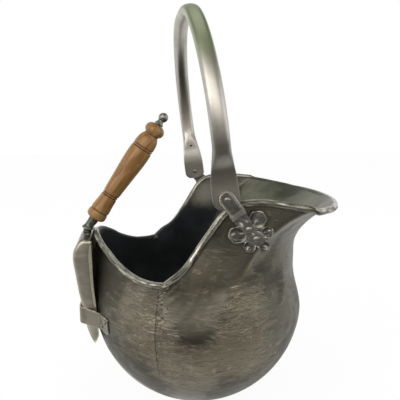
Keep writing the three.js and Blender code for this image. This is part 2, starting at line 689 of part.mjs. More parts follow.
function scoopBlade() {
  const curve = (outline) => {
    const path = outline.map(([x, rise]) => at(x, 0, rise + CENTRE_HEIGHT));
    return new THREE.CatmullRomCurve3(path, false, 'centripetal');
  };
  const back = curve(SCOOP_BACK);
  const edge = curve(SCOOP_EDGE);
  const half = SCOOP_HALF_WIDTH;
  const grid = steps(22).map((t) => {
    const deep = back.getPointAt(t);
    const free = edge.getPointAt(t ** 1.25);
    const wall = (y) => [free, free.clone().lerp(deep, 0.5)].map((p) => at(p.x, y, p.z));
    const toward = free.clone().sub(deep).normalize().multiplyScalar(SCOOP_CORNER);
    const bend = deep.clone().add(toward);
    const left = [...wall(half), at(bend.x, half, bend.z), at(deep.x, half - SCOOP_CORNER, deep.z)];
    const right = left.map((p) => at(p.x, -p.y, p.z)).reverse();
    return [...left, at(deep.x, 0, deep.z), ...right];
  });
  const tray = sheetSolid(grid, -SCOOP_THICKNESS);
  return cut(tray, neckRivetPlaces().map((place) => {
    const radius = NECK_RIVET_RADIUS + GAP;
    return aim(turned([[0, -6], [radius, -6], [radius, 6], [0, 6]], 10), place, heelUp);
  }));
}

// Heel of the scoop: the top face that the neck's foot stands on.
const [HEEL_FRONT, HEEL_BACK] = SCOOP_BACK;
const heelAt = (x) => {
  const t = (x - HEEL_FRONT[0]) / (HEEL_BACK[0] - HEEL_FRONT[0]);
  return at(x, 0, mix(HEEL_FRONT[1], HEEL_BACK[1], t) + CENTRE_HEIGHT);
};
const neckRivetPlaces = () => [-1, 1].map((side) => {
  return heelAt(NECK_RIVET_X).add(at(0, (side * NECK_RIVET_SPACING) / 2, 0));
});
const FOOT_THICKNESS = 1.8;
const heelUp = at(HEEL_BACK[1] - HEEL_FRONT[1], 0, HEEL_FRONT[0] - HEEL_BACK[0]).normalize();

// Neck with a foot, a collar ring, and the rod that the grip is threaded on.
function scoopTang() {
  const base = heelAt(NECK_X).addScaledVector(heelUp, GAP);
  const bend = new THREE.CubicBezierCurve3(
    base, base.clone().addScaledVector(heelUp, 10),
    gripFoot.clone().addScaledVector(gripUp, -5), gripFoot,
  );
  const length = bend.getLength();
  const profile = [               // distance, half depth, half width, how far back of the bend
    [0, 5, 12.4, 0], [FOOT_THICKNESS, 5, 12.4, 0], [FOOT_THICKNESS + 0.1, 5, 5.4, 0.2],
    [5, 4.8, 4.8, 1], [6.4, 5.2, 5.2, 1.2], [7.4, 6.7, 7, 1.7], [8.6, 6.7, 7, 1.7],
    [9.6, 5.6, 5.5, 1.2], [12, 5.4, 5.2, 0.7], [16, 5.6, 5.4, 0], [length - 0.5, 6, 6, 0],
  ];
  const rings = profile.map(([distance, alongX, alongY, back]) => {
    const t = Math.min(distance / length, 1);
    const centre = bend.getPointAt(t).add(at(-back, 0, 0));
    return ringAbout(centre, bend.getTangentAt(t), alongX, alongY);
  });
  const rodEnd = gripFoot.clone().addScaledVector(gripUp, GRIP_LENGTH + 6);
  rings.push(ringAbout(gripFoot.clone().addScaledVector(gripUp, -0.4), gripUp, ROD_RADIUS, ROD_RADIUS));
  rings.push(ringAbout(rodEnd, gripUp, ROD_RADIUS, ROD_RADIUS));
  const tang = loftSolid(rings);
  return cut(tang, neckRivetPlaces().map((place) => {
    const radius = NECK_RIVET_RADIUS + GAP;
    return aim(turned([[0, -1], [radius, -1], [radius, 6], [0, 6]], 10), place, heelUp);
  }));
}

function ringAbout(centre, axis, alongX, alongY) {
  const across = at(0, 1, 0);
  const side = across.clone().cross(axis).normalize();
  return steps(14).slice(1).map((t) => centre.clone()
    .addScaledVector(side, alongX * Math.cos(2 * Math.PI * t))
    .addScaledVector(across, alongY * Math.sin(2 * Math.PI * t)));
}

function neckRivet(place) {
  const grip = SCOOP_THICKNESS + GAP + FOOT_THICKNESS + 0.1;
  const start = place.clone().addScaledVector(heelUp, -SCOOP_THICKNESS);
  return aim(rivet(NECK_RIVET_RADIUS, NECK_RIVET_HEAD, grip, 1.5), start, heelUp);
}

const GRIP_PROFILE = [            // distance from the foot, radius
  [0, 9], [1.2, 10.8], [3.4, 11.9], [7, 11.9], [9.6, 11.2], [10.6, 10.9], [12, 11.5], [16, 11.2],
  [24, 10.4], [31, 10], [32, 9.4], [33.2, 10], [34.6, 9.4], [36, 10.1], [48, 11], [60, 11.8],
  [72, 12.6], [84, 13.4], [92, 13.5], [99.6, 13.2], [100.8, 12.6], [102.2, 13.2], [103.6, 12.6],
  [105, 13], [110, 12.6], [114, 11.9], [117.4, 10.6], [120, 9.1], [121.4, 9], [123, 10.4],
  [125.4, 11.8], [128.4, 12], [131, 11], [133.4, 8.8], [GRIP_LENGTH, 5.6],
];

function woodGrip() {
  const bore = ROD_RADIUS + GAP;
  const outer = GRIP_PROFILE.map(([height, radius]) => [radius, height]);
  const first = [bore, 0];
  return aim(turned([first, ...outer, [bore, GRIP_LENGTH], first], 16), gripFoot, gripUp);
}

function gripNut() {
  const start = GRIP_LENGTH + GAP;
  const socket = GRIP_LENGTH + 6 + GAP;
  const bore = ROD_RADIUS + GAP;
  const ball = steps(6).map((t) => {
    const angle = mix(rad(40), Math.PI, t);
    return [BALL_RADIUS * Math.sin(angle), BALL_FROM_FOOT - BALL_RADIUS * Math.cos(angle)];
  });
  ball[ball.length - 1][0] = 0;
  return aim(turned([
    [0, socket], [bore, socket], [bore, start], [5.4, start], [5.6, start + 1.4],
    [4.5, start + 2.6], ...ball,
  ], 16), gripFoot, gripUp);
}

// ---- assembly -------------------------------------------------------------------------

const steel = new THREE.MeshStandardMaterial({ color: DARK_STEEL, roughness: 0.45, metalness: 0.9 });
const bright = new THREE.MeshStandardMaterial({ color: BRIGHT_STEEL, roughness: 0.35, metalness: 0.9 });
const wood = new THREE.MeshStandardMaterial({ color: TURNED_WOOD, roughness: 0.4, metalness: 0 });

function named(name, geometry, material) {
  const mesh = new THREE.Mesh(geometry, material.clone());
  mesh.name = name;
  return mesh;
}

const lug = lugBody();
const lugRivets = LUG_RIVET_AT.map(lugRivet);
const pivot = pivotRivet();
const wallHoles = LUG_RIVET_AT.flatMap((along) => {
  const [x, z] = lugXZ(along, 0);
  return [crossPin(x, z, 90, 150, LUG_RIVET_RADIUS + GAP), crossPin(x, z, -150, -90, LUG_RIVET_RADIUS + GAP)];
});

const scuttle = new THREE.Group();
scuttle.add(
  named('front_body', cut(frontShell.sheet, wallHoles), steel),
  named('back_body', cut(backShell.sheet, strapRivetPlaces().map(strapHole)), steel),
  named('bottom_pan', bottomPan(), steel),
  named('rim_wire_front', wireAlong(frontShell.centres, RIM_WIRE_RADIUS, 6), bright),
  named('rim_wire_back', wireAlong(backShell.centres, RIM_WIRE_RADIUS, 6), bright),
  named('lug_left', lug, steel),
  named('lug_right', mirrored(lug), steel),
  ...lugRivets.map((shape, i) => named(`lug_rivet_${['upper', 'lower'][i]}_left`, shape, bright)),
  ...lugRivets.map((shape, i) => named(`lug_rivet_${['upper', 'lower'][i]}_right`, mirrored(shape), bright)),
  named('pivot_rivet_left', pivot, bright),
  named('pivot_rivet_right', mirrored(pivot), bright),
  named('shovel_loop', strapBand(), steel),
  ...strapRivetPlaces().map((place) => named(place.name, strapRivet(place), bright)),
);

const bail = new THREE.Group();
bail.add(named('bail_handle', bailHandle(), bright));

const shovel = new THREE.Group();
shovel.add(
  named('scoop_blade', scoopBlade(), steel),
  named('scoop_tang', scoopTang(), steel),
  ...neckRivetPlaces().map((place, i) => named(`neck_rivet_${['right', 'left'][i]}`, neckRivet(place), bright)),
  named('wood_grip', woodGrip(), wood),
  named('grip_nut', gripNut(), bright),
);

const coalScuttle = new THREE.Group();
coalScuttle.add(scuttle, bail, shovel);

export default coalScuttle;
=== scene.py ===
"""Coal scuttle with a swinging bail and a shovel in a strap: the dressed model for Blender."""
import math

import bmesh
import bpy
import numpy as np
from mathutils import Matrix, Vector


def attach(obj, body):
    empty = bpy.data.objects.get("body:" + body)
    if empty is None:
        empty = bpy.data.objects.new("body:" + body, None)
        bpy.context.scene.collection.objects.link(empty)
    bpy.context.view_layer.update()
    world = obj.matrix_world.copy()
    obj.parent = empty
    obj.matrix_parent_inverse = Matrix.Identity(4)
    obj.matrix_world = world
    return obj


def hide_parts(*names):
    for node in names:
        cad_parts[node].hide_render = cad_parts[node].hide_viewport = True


bl_info = {
    "name": "Coal scuttle",
    "version": (1, 0, 0),
    "blender": (4, 5, 0),
    "location": "3D View > Sidebar > Scuttle",
    "description": "Makes a sheet-metal coal scuttle with its bail and shovel",
    "category": "Add Mesh",
}

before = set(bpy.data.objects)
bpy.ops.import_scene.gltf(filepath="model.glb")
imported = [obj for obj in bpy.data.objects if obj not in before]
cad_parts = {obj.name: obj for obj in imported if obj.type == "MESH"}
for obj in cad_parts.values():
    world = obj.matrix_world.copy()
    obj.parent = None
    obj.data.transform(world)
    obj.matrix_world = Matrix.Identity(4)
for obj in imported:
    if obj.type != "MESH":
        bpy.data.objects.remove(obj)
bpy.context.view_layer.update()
MM = 0.001

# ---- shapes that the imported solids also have, in millimetres --------------------------

BOWL_RADIUS = 128.0           # outside of the round bowl
CENTRE_HEIGHT = 115.0         # bowl centre above the floor
WALL = 1.2                    # sheet thickness
GAP = 0.3                     # clearance between pieces that touch
WAIST = [(90, 10.5), (130, 13), (180, 8)]  # how far the waist draws in, by degrees
FRONT_WAIST_RISE = (-14, 46)  # heights between which the front draws in
BACK_WAIST_RISE = (0, 60)     # the same, towards the back
HEEL_WAIST_RISE = (48, 92)    # the same, behind the shovel
FRONT_TO_BACK = (85, 140)     # degrees between which the front gives way to the back
BACK_TO_HEEL = (148, 174)     # and the back to the stretch behind the shovel
LIP_FLARE = [(0, 42.1), (24, 45.1), (36, 47.2), (48, 50)]  # flare of the lip, by degrees
LIP_DEPTH = 58                # height over which it flares
LIP_POWER = 2.15              # how sharply it turns out
LIP_END = (85, 100)           # degrees between which it runs out
CHEEK_INSET = 15.9            # flat cheek, inside the waist radius
CHEEK_SPREAD = 0.3            # cheek width gained for each unit forward
CHEEK_RISE = (22, 98)         # heights between which the round wall turns flat
CHEEK_END = (100, 125)        # degrees between which the cheek runs out
LEAST_REACH = 0.3             # the cheek is left out where it faces further aside
CREASE_SOFTNESS = 3           # rounding of the ridge between cheek and lip
CREASE_RISE = (5, 40)         # heights between which that rounding sets in
SEAM_ANGLE = 114              # side seams, degrees round from the spout
PAN_SEAM_HEIGHT = 62          # joint between the bottom pan and the sheets
PAN_LAP = 8                   # height of the pan's edge inside the sheets
ROLL_TURN = 285               # degrees of curl of the rolled rim
# Height of the rim above the bowl centre, by degrees from the spout.
FRONT_RIM = [
    (0, 124.2), (24, 124.5), (36, 126.3), (48, 129), (53, 130.2), (58, 132.6), (66, 135.2),
    (76, 132), (80, 126.5), (90, 100.5), (101, 71.7), (SEAM_ANGLE, 48),
]
BACK_RIM = [
    (SEAM_ANGLE, 48), (120, 47.3), (127, 48.5), (133.5, 51.6), (147, 62.8), (155, 71.3),
    (167, 80), (180, 84.4),
]
# The level that the lip's flare is measured from.
LIP_LEVEL = [
    (0, 124.2), (24, 124.5), (36, 126.3), (48, 129), (54.5, 129.5), (62.4, 123.4),
    (67.7, 116), (76, 100), (90, 92),
]

PIVOT_X = 12
PIVOT_HEIGHT = 256
BAIL_HALF_SPAN = 127.8        # middle of the flat ends, from the mid-plane
BAIL_RISE = 197               # crown above the pivots
BAIL_POWER = 2.92             # squareness of the arch
BAIL_BULGE = 16.2             # how far the legs bow out, halfway up
BAIL_BOW = (0.06, 0.3)        # the bow sets in over this share of the rise
BAIL_LEAN = 7.8               # degrees back from upright at rest
BAIL_WIDTH = 18.1
BAIL_THICKNESS = 12.6
BAIL_END_WIDTH = 27.5
BAIL_END_THICKNESS = 3.2
BAIL_END_BELOW = 10           # flat end below the pivot
BAIL_END_CORNER = 8.5
BAIL_FLAT_LENGTH = 38         # flat part, from the tip
BAIL_SPREAD = (19, 66)        # the ends widen over this stretch, from the tip
BAIL_SQUARENESS = (6, 2.3)    # of the cross-section: flat end and tube
VENT_FROM_TIP = 48
VENT_RADIUS = 1.5

LUG_ANGLE = math.radians(-52.5)
LUG_WIDTH = 15.6
EAR_RADIUS = 8.2
EAR_INNER = 129.8
EAR_THICKNESS = 2.8
SHOULDER_START = 15.4         # the strap slopes in from here, along it from the pivot
SHOULDER_END = 27
SHOULDER_THICKNESS = 4.2
LUG_PLATE = 2.6
LUG_RIVET_AT = (42.4, 54.6)
# Places of the leaves and petals: along the lug's strap, and across it.
LEAVES = [(38.6, 13.3), (40.5, -13.1)]
PETALS = [(55, 12.6), (64.8, 1.8), (57.2, -10.4)]
LEAF = {"radius": 9.6, "height": 4.2, "veins": 5, "cup": 2.2}
PETAL = {"radius": 6.6, "height": 3.9, "veins": 7, "cup": 1.6}

STRAP_THICKNESS = 1.6
STRAP_HEIGHT = 19.5
STRAP_HALF_WIDTH = 40.2
STRAP_BACK_X = -143.2
STRAP_EAR_REACH = 31.5
STRAP_EAR_START = 22.2
STRAP_RISE = -6.5
STRAP_EAR_DROP = 4.6
STRAP_RIVETS = [(24.9, -14.2), (29, -7)]  # degrees round from the back, and rise

SCOOP_THICKNESS = 1.4
SCOOP_HALF_WIDTH = 37.6
SCOOP_CORNER = 3
SCOOP_BACK = [
    (-129.2, 79.4), (-133, 80.1), (-136.9, 80.8), (-141.8, 76.4), (-145.8, 68.8), (-147, 59.4),
    (-145, 43), (-142.4, 24), (-139.2, 6), (-134.7, -20), (-130.6, -33.5), (-126, -43.3),
]
SCOOP_EDGE = [(-127, 79), (-126.9, 70), (-126.6, 55), (-126.1, 30), (-123.6, 0), (-121.6, -33)]
NECK_X = -134.5
NECK_RIVET_X = -133
NECK_RIVET_SPACING = 17
# Distance up the neck, half its depth, half its width, and how far back it is set.
NECK_SECTIONS = [
    (0, 4.8, 12.4, 0), (0.3, 5, 12.5, 0), (1.5, 5, 12.5, 0), (1.9, 4.9, 12.1, 0.1),
    (2.3, 4.9, 7, 0.3), (3, 4.9, 5.1, 0.5), (5, 4.8, 4.8, 1), (6, 5, 5, 1.1), (6.7, 5.7, 6, 1.4),
    (7.4, 6.6, 6.9, 1.7), (8, 6.8, 7, 1.7), (8.6, 6.6, 6.9, 1.7), (9.2, 6, 6.2, 1.4),
    (9.8, 5.6, 5.5, 1.2), (12, 5.3, 5.1, 0.7), (14, 5.4, 5.2, 0.3), (16, 5.6, 5.4, 0),
]
NECK_HANDLES = (10, 5)        # how far the neck runs straight on from each end
ROD_RADIUS = 3
GRIP_FOOT = (-125, 0, 215.3)
GRIP_LEAN = math.radians(35.3)
GRIP_LENGTH = 135
GRIP_PROFILE = [
    (0, 9), (1.2, 10.8), (3.4, 11.9), (7, 11.9), (9.6, 11.2), (10.6, 10.9), (12, 11.5),
    (16, 11.2), (24, 10.4), (31, 10), (32, 9.4), (33.2, 10), (34.6, 9.4), (36, 10.1),
    (48, 11), (60, 11.8), (72, 12.6), (84, 13.4), (92, 13.5), (99.6, 13.2), (100.8, 12.6),
    (102.2, 13.2), (103.6, 12.6), (105, 13), (110, 12.6), (114, 11.9), (117.4, 10.6),
    (120, 9.1), (121.4, 9), (123, 10.4), (125.4, 11.8), (128.4, 12), (131, 11),
    (133.4, 8.8), (134.6, 6.4), (GRIP_LENGTH, 5.2),
]
GRIP_GROOVES = [10.6, 32, 34.6, 100.8, 103.6, 120.7]
NUT_COLLAR = [(0, 3.3), (0, 5.2), (0.3, 5.45), (1.2, 5.6), (1.7, 5.3), (2.4, 4.7), (3.2, 4.1)]
BALL_RADIUS = 5.8
BALL_FROM_FOOT = 145.6

# ---- forms, wear and painted light that only the scene has, in millimetres and degrees ---

SHEET_ROWS = {"front_sheet": 70, "back_sheet": 56}  # rows of faces up to the rim
BACK_COLUMNS = 0.58           # columns of the back sheet, as a share of the front's
SEAM_PLAY = 0.01              # degrees between a sheet's edge and its seam
ROLL_GROOVE = 118             # the groove runs here, in degrees of the roll's turn
ROLL_PAINT_ROWS = 7           # rows of the roll that the inside paint covers
ROLL_PAINT_FROM = 84          # degrees from the spout at which that begins
LIP_LINE_SHIFT = 22           # the painted highlight along the lip's roll sets in earlier, in degrees of turn
ROLL_GROOVE_DEPTH = 0.5
CREASE_SHEEN_WIDTH = 2.0             # half width of the pale line on the cheek's crease: partly rubbed, partly a painted highlight
SHOVEL_SHADE_WIDTH = (38, 66)         # the painted shade of the shovel on the wall fades out sideways
SHOVEL_SHADE_HEIGHT = (98, 124)       # and sets in between these heights
LAP_WIDTH = 4.2               # degrees covered by the lap of a side seam
LUMP_SIZE = (4.5, 5.2, 4.3)   # lump of solder on the rim: outward, along the rim and up
MARK_RADIUS = 2.5             # ring mark on a seam
MARK_THICKNESS = 0.55
MARK_SHARE = 0.72             # how much of the ring is there
SEEDS = {"roll": 3, "dents": 8, "spots": 21}
SEAM_SEEDS = {1: (11, 31, 41, 51), -1: (5, 17, 23, 19)}  # blobs, edge, lap and rim lump
PAN_SIDES = 200
PAN_BASE = [(0, 0.02), (0, 40), (0, 54.2), (0.12, 55.6), (0.5, 57)]  # height and radius
PAN_INSET = 2.3               # the pan's lapped edge, inside the bowl's outside radius
BEAD_SIDES = 240
# The bead on the pan's joint: height above the joint, and how far it stands proud.
BEAD_SECTION = [(-0.75, -0.4), (-0.6, 0.02), (-0.1, 0.22), (0.5, 0.2), (0.9, 0.02), (1.0, -0.4)]
EAR_RIM = 0.55                # half thickness of the ear's raised rim
LEAF_FEET = (LUG_RIVET_AT[0] + 4, LUG_RIVET_AT[1] - 3)  # where the leaves and petals grow from
# Small leaves between the large ones: along, across, length and half width.
SMALL_LEAVES = [(34.5, -3.4, 7, 2.3), (34.8, 3.2, 5.6, 1.6), (48.6, 0.2, 5, 1.5)]
BOSS = [(0.15, 8.6), (1.9, 8.6), (2.35, 8.2), (LUG_PLATE, 7.2), (2.4, 4)]  # height and radius
# Head radius, and distance between the outer and the inner head.
PIVOT_RIVET = (3.2, 8.2)
STRAP_RIVET = (3.1, 4.1)
NECK_RIVET = (2.8, 3.8)
LUG_RIVET_HEAD = 3.8
LUG_RIVET_RISE = 0.7
# Share of the way down the scoop's side wall, and its wear there.
SCOOP_WALL = [(0, 1), (0.08, 1), (0.2, 0.9), (0.25, -0.45), (0.29, -0.2), (0.6, 0), (1, 0)]
GRIP_SIDES = 72
GRIP_BORE = 3.15
GROOVE_DEPTH = 0.45
GROOVE_WIDTH = 0.5
PAINT_TOP = 203               # the inside paint ends at about this height
INSIDE_HIGHLIGHT = (24, 105, 222)  # painted highlight inside the lip, alike on both sides
DENT_DEPTH = 0.16
# Centre, reach and strength of the rubbed patches of the body, alike on both sides; a negative
# strength darkens, partly as patina and partly as a painted dark reflection.
RUBBED_AND_SHADED_PLACES = [
    ((28, 125, 122), 56, 0.7), ((38, 118, 152), 34, 0.5), ((12, 122, 80), 52, 0.55),
    ((-84, 97, 126), 52, 0.6), ((-62, 108, 96), 52, 0.45), ((-28, 119, 70), 54, 0.55),
    ((-50, 115, 118), 26, 0.3), ((60, 100, 60), 46, 0.3), ((44, 112, 84), 44, 0.45),
    ((-14, 122, 156), 58, -0.55), ((-6, 112, 178), 50, -0.45), ((20, 112, 215), 44, -0.55),
]

# ---- the stage, in metres and watts ---------------------------------------------------

LENS = 44.7
CAMERA_PLACE = (-0.0768, -0.5981, 0.3361)
CAMERA_RIGHT = (0.9912, -0.1323, 0)
CAMERA_BACK = (-0.1304, -0.9773, 0.1668)
LAMP_TARGET = (0, 0, 0.22)
FLOOR_REACH = 4.0


# ---- small helpers --------------------------------------------------------------------

def mix(a, b, t):
    return a + (b - a) * t


def smooth(low, high, x):
    t = np.clip((np.asarray(x, float) - low) / (high - low), 0, 1)
    return t * t * (3 - 2 * t)


def follow(knots, x):
    """A monotone cubic through rising (x, y) knots."""
    kx, ky = np.array(knots, float).T
    x = np.clip(np.asarray(x, float), kx[0], kx[-1])
    slope = np.diff(ky) / np.diff(kx)
    before, after = slope[:-1], slope[1:]
    rising = before * after > 0
    inner = np.where(rising, 2 * before * after / np.where(rising, before + after, 1), 0)
    tangent = np.concatenate([slope[:1], inner, slope[-1:]])
    i = np.clip(np.searchsorted(kx, x, "left") - 1, 0, len(kx) - 2)
    width = kx[i + 1] - kx[i]
    t = (x - kx[i]) / width
    bend = tangent[i] * t * (1 - t) ** 2 - tangent[i + 1] * t * t * (1 - t)
    return mix(ky[i], ky[i + 1], t * t * (3 - 2 * t)) + width * bend


def uneven(rows, columns, row_cells, column_cells, seed):
    """A smooth random field from -1 to 1, the same on every run."""
    cells = np.random.default_rng(seed).uniform(-1, 1, (row_cells + 1, column_cells + 1))
    at = smooth_steps(np.linspace(0, row_cells, rows))
    down = np.array([np.interp(at, np.arange(row_cells + 1), column) for column in cells.T]).T
    at = smooth_steps(np.linspace(0, column_cells, columns))
    return np.array([np.interp(at, np.arange(column_cells + 1), row) for row in down])


def smooth_steps(at):
    whole = np.floor(at)
    t = at - whole
    return whole + t * t * (3 - 2 * t)


def unit(v):
    v = np.asarray(v, float)
    return v / np.maximum(np.linalg.norm(v, axis=-1, keepdims=True), 1e-12)


def soft_path(points, count):
    """A centripetal Catmull-Rom curve through points, at even distances."""
    p = np.array(points, float)
    p = np.vstack([2 * p[0] - p[1], p, 2 * p[-1] - p[-2]])
    out = []
    for a, b, c, d in zip(p[:-3], p[1:-2], p[2:-1], p[3:]):
        ta, tb, tc = (max(np.linalg.norm(v) ** 0.5, 1e-6) for v in (b - a, c - b, d - c))
        m = (b - a) / ta - (c - a) / (ta + tb) + (c - b) / tb
        n = (c - b) / tb - (d - b) / (tb + tc) + (d - c) / tc
        m, n = m * tb, n * tb
        t = np.linspace(0, 1, 24, endpoint=False)[:, None]
        out.append(b + m * t + (3 * (c - b) - 2 * m - n) * t ** 2 + (2 * (b - c) + m + n) * t ** 3)
    return even(np.vstack([*out, p[-2]]), count)


def steps(points):
    """Lengths of a polyline's steps."""
    return np.linalg.norm(np.diff(points, axis=0), axis=1)


def point_at(points, t):
    """Point at share t of a polyline."""
    passed = np.concatenate([[0], np.cumsum(steps(points))])
    return np.array([np.interp(t * passed[-1], passed, column) for column in points.T])


def even(points, count):
    """The same polyline with its points at even distances."""
    passed = np.concatenate([[0], np.cumsum(steps(points))])
    at = np.linspace(0, passed[-1], count)
    return np.stack([np.interp(at, passed, column) for column in points.T], -1)


def along_path(points, t):
    """Point and direction at share t of a polyline."""
    ahead = unit(point_at(points, min(t + 0.002, 1)) - point_at(points, max(t - 0.002, 0)))
    return point_at(points, t), ahead


def full_turn(count):
    """Angles once round, in radians."""
    return np.linspace(0, 2 * math.pi, count, endpoint=False)


# ---- mesh building --------------------------------------------------------------------

def grid_faces(rows, columns, start=0, loop=False, flip=False):
    """Quads between neighbouring rows of points; loop closes each row on itself."""
    faces = []
    last = columns if loop else columns - 1
    for i in range(rows - 1):
        for j in range(last):
            k = (j + 1) % columns
            quad = (start + i * columns + j, start + i * columns + k,
                    start + (i + 1) * columns + k, start + (i + 1) * columns + j)
            faces.append(quad[::-1] if flip else quad)
    return faces


def ring_faces(rows, columns):
    """Quads between closed rows of points, of which the last joins the first."""
    count = rows * columns
    return [tuple(v % count for v in face) for face in grid_faces(rows + 1, columns, loop=True)]


def make_piece(name, points, faces, materials, indices=None, wear=None, sharp=35):
    """A mesh object from points in millimetres. Its faces are turned to point outwards."""
    mesh = bpy.data.meshes.new(name)
    mesh.from_pydata((np.asarray(points, float) * MM).tolist(), [], [tuple(f) for f in faces])
    for material in materials:
        mesh.materials.append(material)
    if indices is not None:
        mesh.polygons.foreach_set("material_index", np.asarray(indices, np.int32))
    if wear is not None:
        layer = mesh.attributes.new("wear", "FLOAT", "POINT")
        layer.data.foreach_set("value", np.asarray(wear, np.float32))
    edit = bmesh.new()
    edit.from_mesh(mesh)
    bmesh.ops.remove_doubles(edit, verts=edit.verts, dist=1e-7)
    bmesh.ops.recalc_face_normals(edit, faces=edit.faces)
    edit.to_mesh(mesh)
    edit.free()
    mesh.polygons.foreach_set("use_smooth", [True] * len(mesh.polygons))
    mesh.set_sharp_from_angle(angle=math.radians(sharp))
    mesh.update()
    piece = bpy.data.objects.new(name, mesh)
    bpy.context.scene.collection.objects.link(piece)
    return piece


def keep_result(piece):
    """Turns a piece and its modifiers into one plain mesh."""
    depsgraph = bpy.context.evaluated_depsgraph_get()
    mesh = bpy.data.meshes.new_from_object(piece.evaluated_get(depsgraph), depsgraph=depsgraph)
    piece.modifiers.clear()
    piece.data = mesh
    mesh.name = piece.name


class Shape:
    """Collects closed parts of one piece: points, faces, material indices, and wear with painted
    light.
    """

    def __init__(self):
        self.points, self.faces, self.indices, self.wear = [], [], [], []

    def add(self, points, faces, index=0, wear=0.0):
        start = len(self.points)
        self.points.extend(np.asarray(points, float).reshape(-1, 3).tolist())
        self.faces.extend(tuple(start + v for v in face) for face in faces)
        self.indices.extend([index] * len(faces) if np.isscalar(index) else list(index))
        count = len(self.points) - start
        self.wear.extend([wear] * count if np.isscalar(wear) else list(np.ravel(wear)))

    def loft(self, rings, index=0, wear=0.0):
        """A closed solid through rings of points, with a fan over each end."""
        rings = np.asarray(rings, float)
        rows, columns = rings.shape[:2]
        ends = [rings[0].mean(0), rings[-1].mean(0)]
        faces = grid_faces(rows, columns, loop=True)
        first, last = rows * columns, rows * columns + 1
        base = (rows - 1) * columns
        faces += [(first, (j + 1) % columns, j) for j in range(columns)]
        faces += [(last, base + j, base + (j + 1) % columns) for j in range(columns)]
        rubbed = wear if np.isscalar(wear) else np.concatenate([np.ravel(wear), [0, 0]])
        self.add(np.vstack([rings.reshape(-1, 3), ends]), faces, index, rubbed)

    def piece(self, name, materials, sharp=35):
        return make_piece(name, self.points, self.faces, materials, self.indices, self.wear, sharp)


def grid_normals(grid):
    """Unit normals of a grid of points, from its own directions."""
    down = np.gradient(grid, axis=0)
    across = np.gradient(grid, axis=1)
    return unit(np.cross(down, across))


def sheet_shape(shape, near, far, index_near, index_far, index_edge=0, wear=0.0):
    """A closed sheet between two grids of points of the same size."""
    rows, columns = near.shape[:2]
    count = rows * columns
    faces = grid_faces(rows, columns)
    back = grid_faces(rows, columns, start=count, flip=True)
    rim = []
    for i in range(rows - 1):
        for j in (0, columns - 1):
            a, b = i * columns + j, (i + 1) * columns + j
            rim.append((a, b, b + count, a + count) if j == 0 else (b, a, a + count, b + count))
    for j in range(columns - 1):
        for i in (0, rows - 1):
            a, b = i * columns + j, i * columns + j + 1
            rim.append((b, a, a + count, b + count) if i == 0 else (a, b, b + count, a + count))
    indices = [*np.broadcast_to(index_near, len(faces)), *np.broadcast_to(index_far, len(back))]
    indices += [index_edge] * len(rim)
    rubbed = wear if np.isscalar(wear) else np.concatenate([np.ravel(wear), np.ravel(wear)])
    points = np.concatenate([near.reshape(-1, 3), far.reshape(-1, 3)])
    shape.add(points, faces + back + rim, indices, rubbed)


def turned_points(profile, sides, axis_foot=(0, 0, 0), axis=(0, 0, 1)):
    """Rings of a turned shape from (distance, radius) pairs along an axis."""
    axis = unit(axis)
    side = unit(np.cross((0, 1, 0), axis)) if abs(axis[1]) < 0.9 else np.array([1.0, 0, 0])
    other = np.cross(axis, side)
    turn = full_turn(sides)
    circle = np.cos(turn)[:, None] * side + np.sin(turn)[:, None] * other
    foot = np.asarray(axis_foot, float)
    return np.array([foot + axis * distance + circle * radius for distance, radius in profile])


# ---- body surface ---------------------------------------------------------------------

def cheek_at(x, rise):
    """Distance of the flat cheek from the mid-plane."""
    flatness = smooth(*CHEEK_RISE, rise)
    waist = BOWL_RADIUS - WAIST[0][1] * smooth(*FRONT_WAIST_RISE, rise)
    return waist - CHEEK_INSET * flatness + CHEEK_SPREAD * flatness * x


def wall_parts(degrees, rise):
    """Radius of the drawn-in bowl with its lip, radius of the flat cheek, and the cheek's reach."""
    degrees, rise = np.abs(np.asarray(degrees, float)), np.asarray(rise, float)
    angle = np.minimum(degrees, 360 - degrees)
    front, back = smooth(*FRONT_WAIST_RISE, rise), smooth(*BACK_WAIST_RISE, rise)
    drawn = mix(front, back, smooth(*FRONT_TO_BACK, angle))
    drawn = mix(drawn, smooth(*HEEL_WAIST_RISE, rise), smooth(*BACK_TO_HEEL, angle))
    low = np.minimum(rise, 0)
    waist = np.sqrt(BOWL_RADIUS ** 2 - low ** 2) - follow(WAIST, angle) * drawn
    flare = np.maximum(0, 1 - (follow(LIP_LEVEL, angle) - rise) / LIP_DEPTH) ** LIP_POWER
    lip = waist + follow(LIP_FLARE, angle) * flare * (1 - smooth(*LIP_END, angle))
    flatness = smooth(*CHEEK_RISE, rise)
    turn = np.radians(angle)
    reach = np.sin(turn) - CHEEK_SPREAD * flatness * np.cos(turn)
    cheek = cheek_at(0, rise) / np.maximum(reach, LEAST_REACH) + 25 * smooth(*CHEEK_END, angle)
    return lip, cheek, reach


def wall_radius(degrees, rise):
    """Outside radius of the wall: degrees round from the spout, rise above the bowl centre."""
    lip, cheek, reach = wall_parts(degrees, rise)
    rounding = CREASE_SOFTNESS * smooth(*CREASE_RISE, rise)
    return np.where(reach < LEAST_REACH, lip, (lip + cheek - np.hypot(lip - cheek, rounding)) / 2)


def on_crease(grid):
    """How near the points lie to the crease between the cheek and the spout, from 0 to 1."""
    rise = grid[..., 2] - CENTRE_HEIGHT
    lip, cheek, reach = wall_parts(np.degrees(np.arctan2(grid[..., 1], grid[..., 0])), rise)
    near = np.exp(-((lip - cheek) / CREASE_SHEEN_WIDTH) ** 2) * (reach > LEAST_REACH)
    forward = grid[..., 0] > 0
    return near * forward * smooth(30, 48, rise) * (1 - smooth(96, 116, rise))


def wall_point(degrees, rise, inset):
    """Points inside the wall's outside face by the inset, or outside it if negative."""
    degrees, rise = np.broadcast_arrays(np.asarray(degrees, float), np.asarray(rise, float))
    radius = wall_radius(degrees, rise) - inset
    turn = np.radians(degrees)
    return np.stack([radius * np.cos(turn), radius * np.sin(turn), rise + CENTRE_HEIGHT], -1)


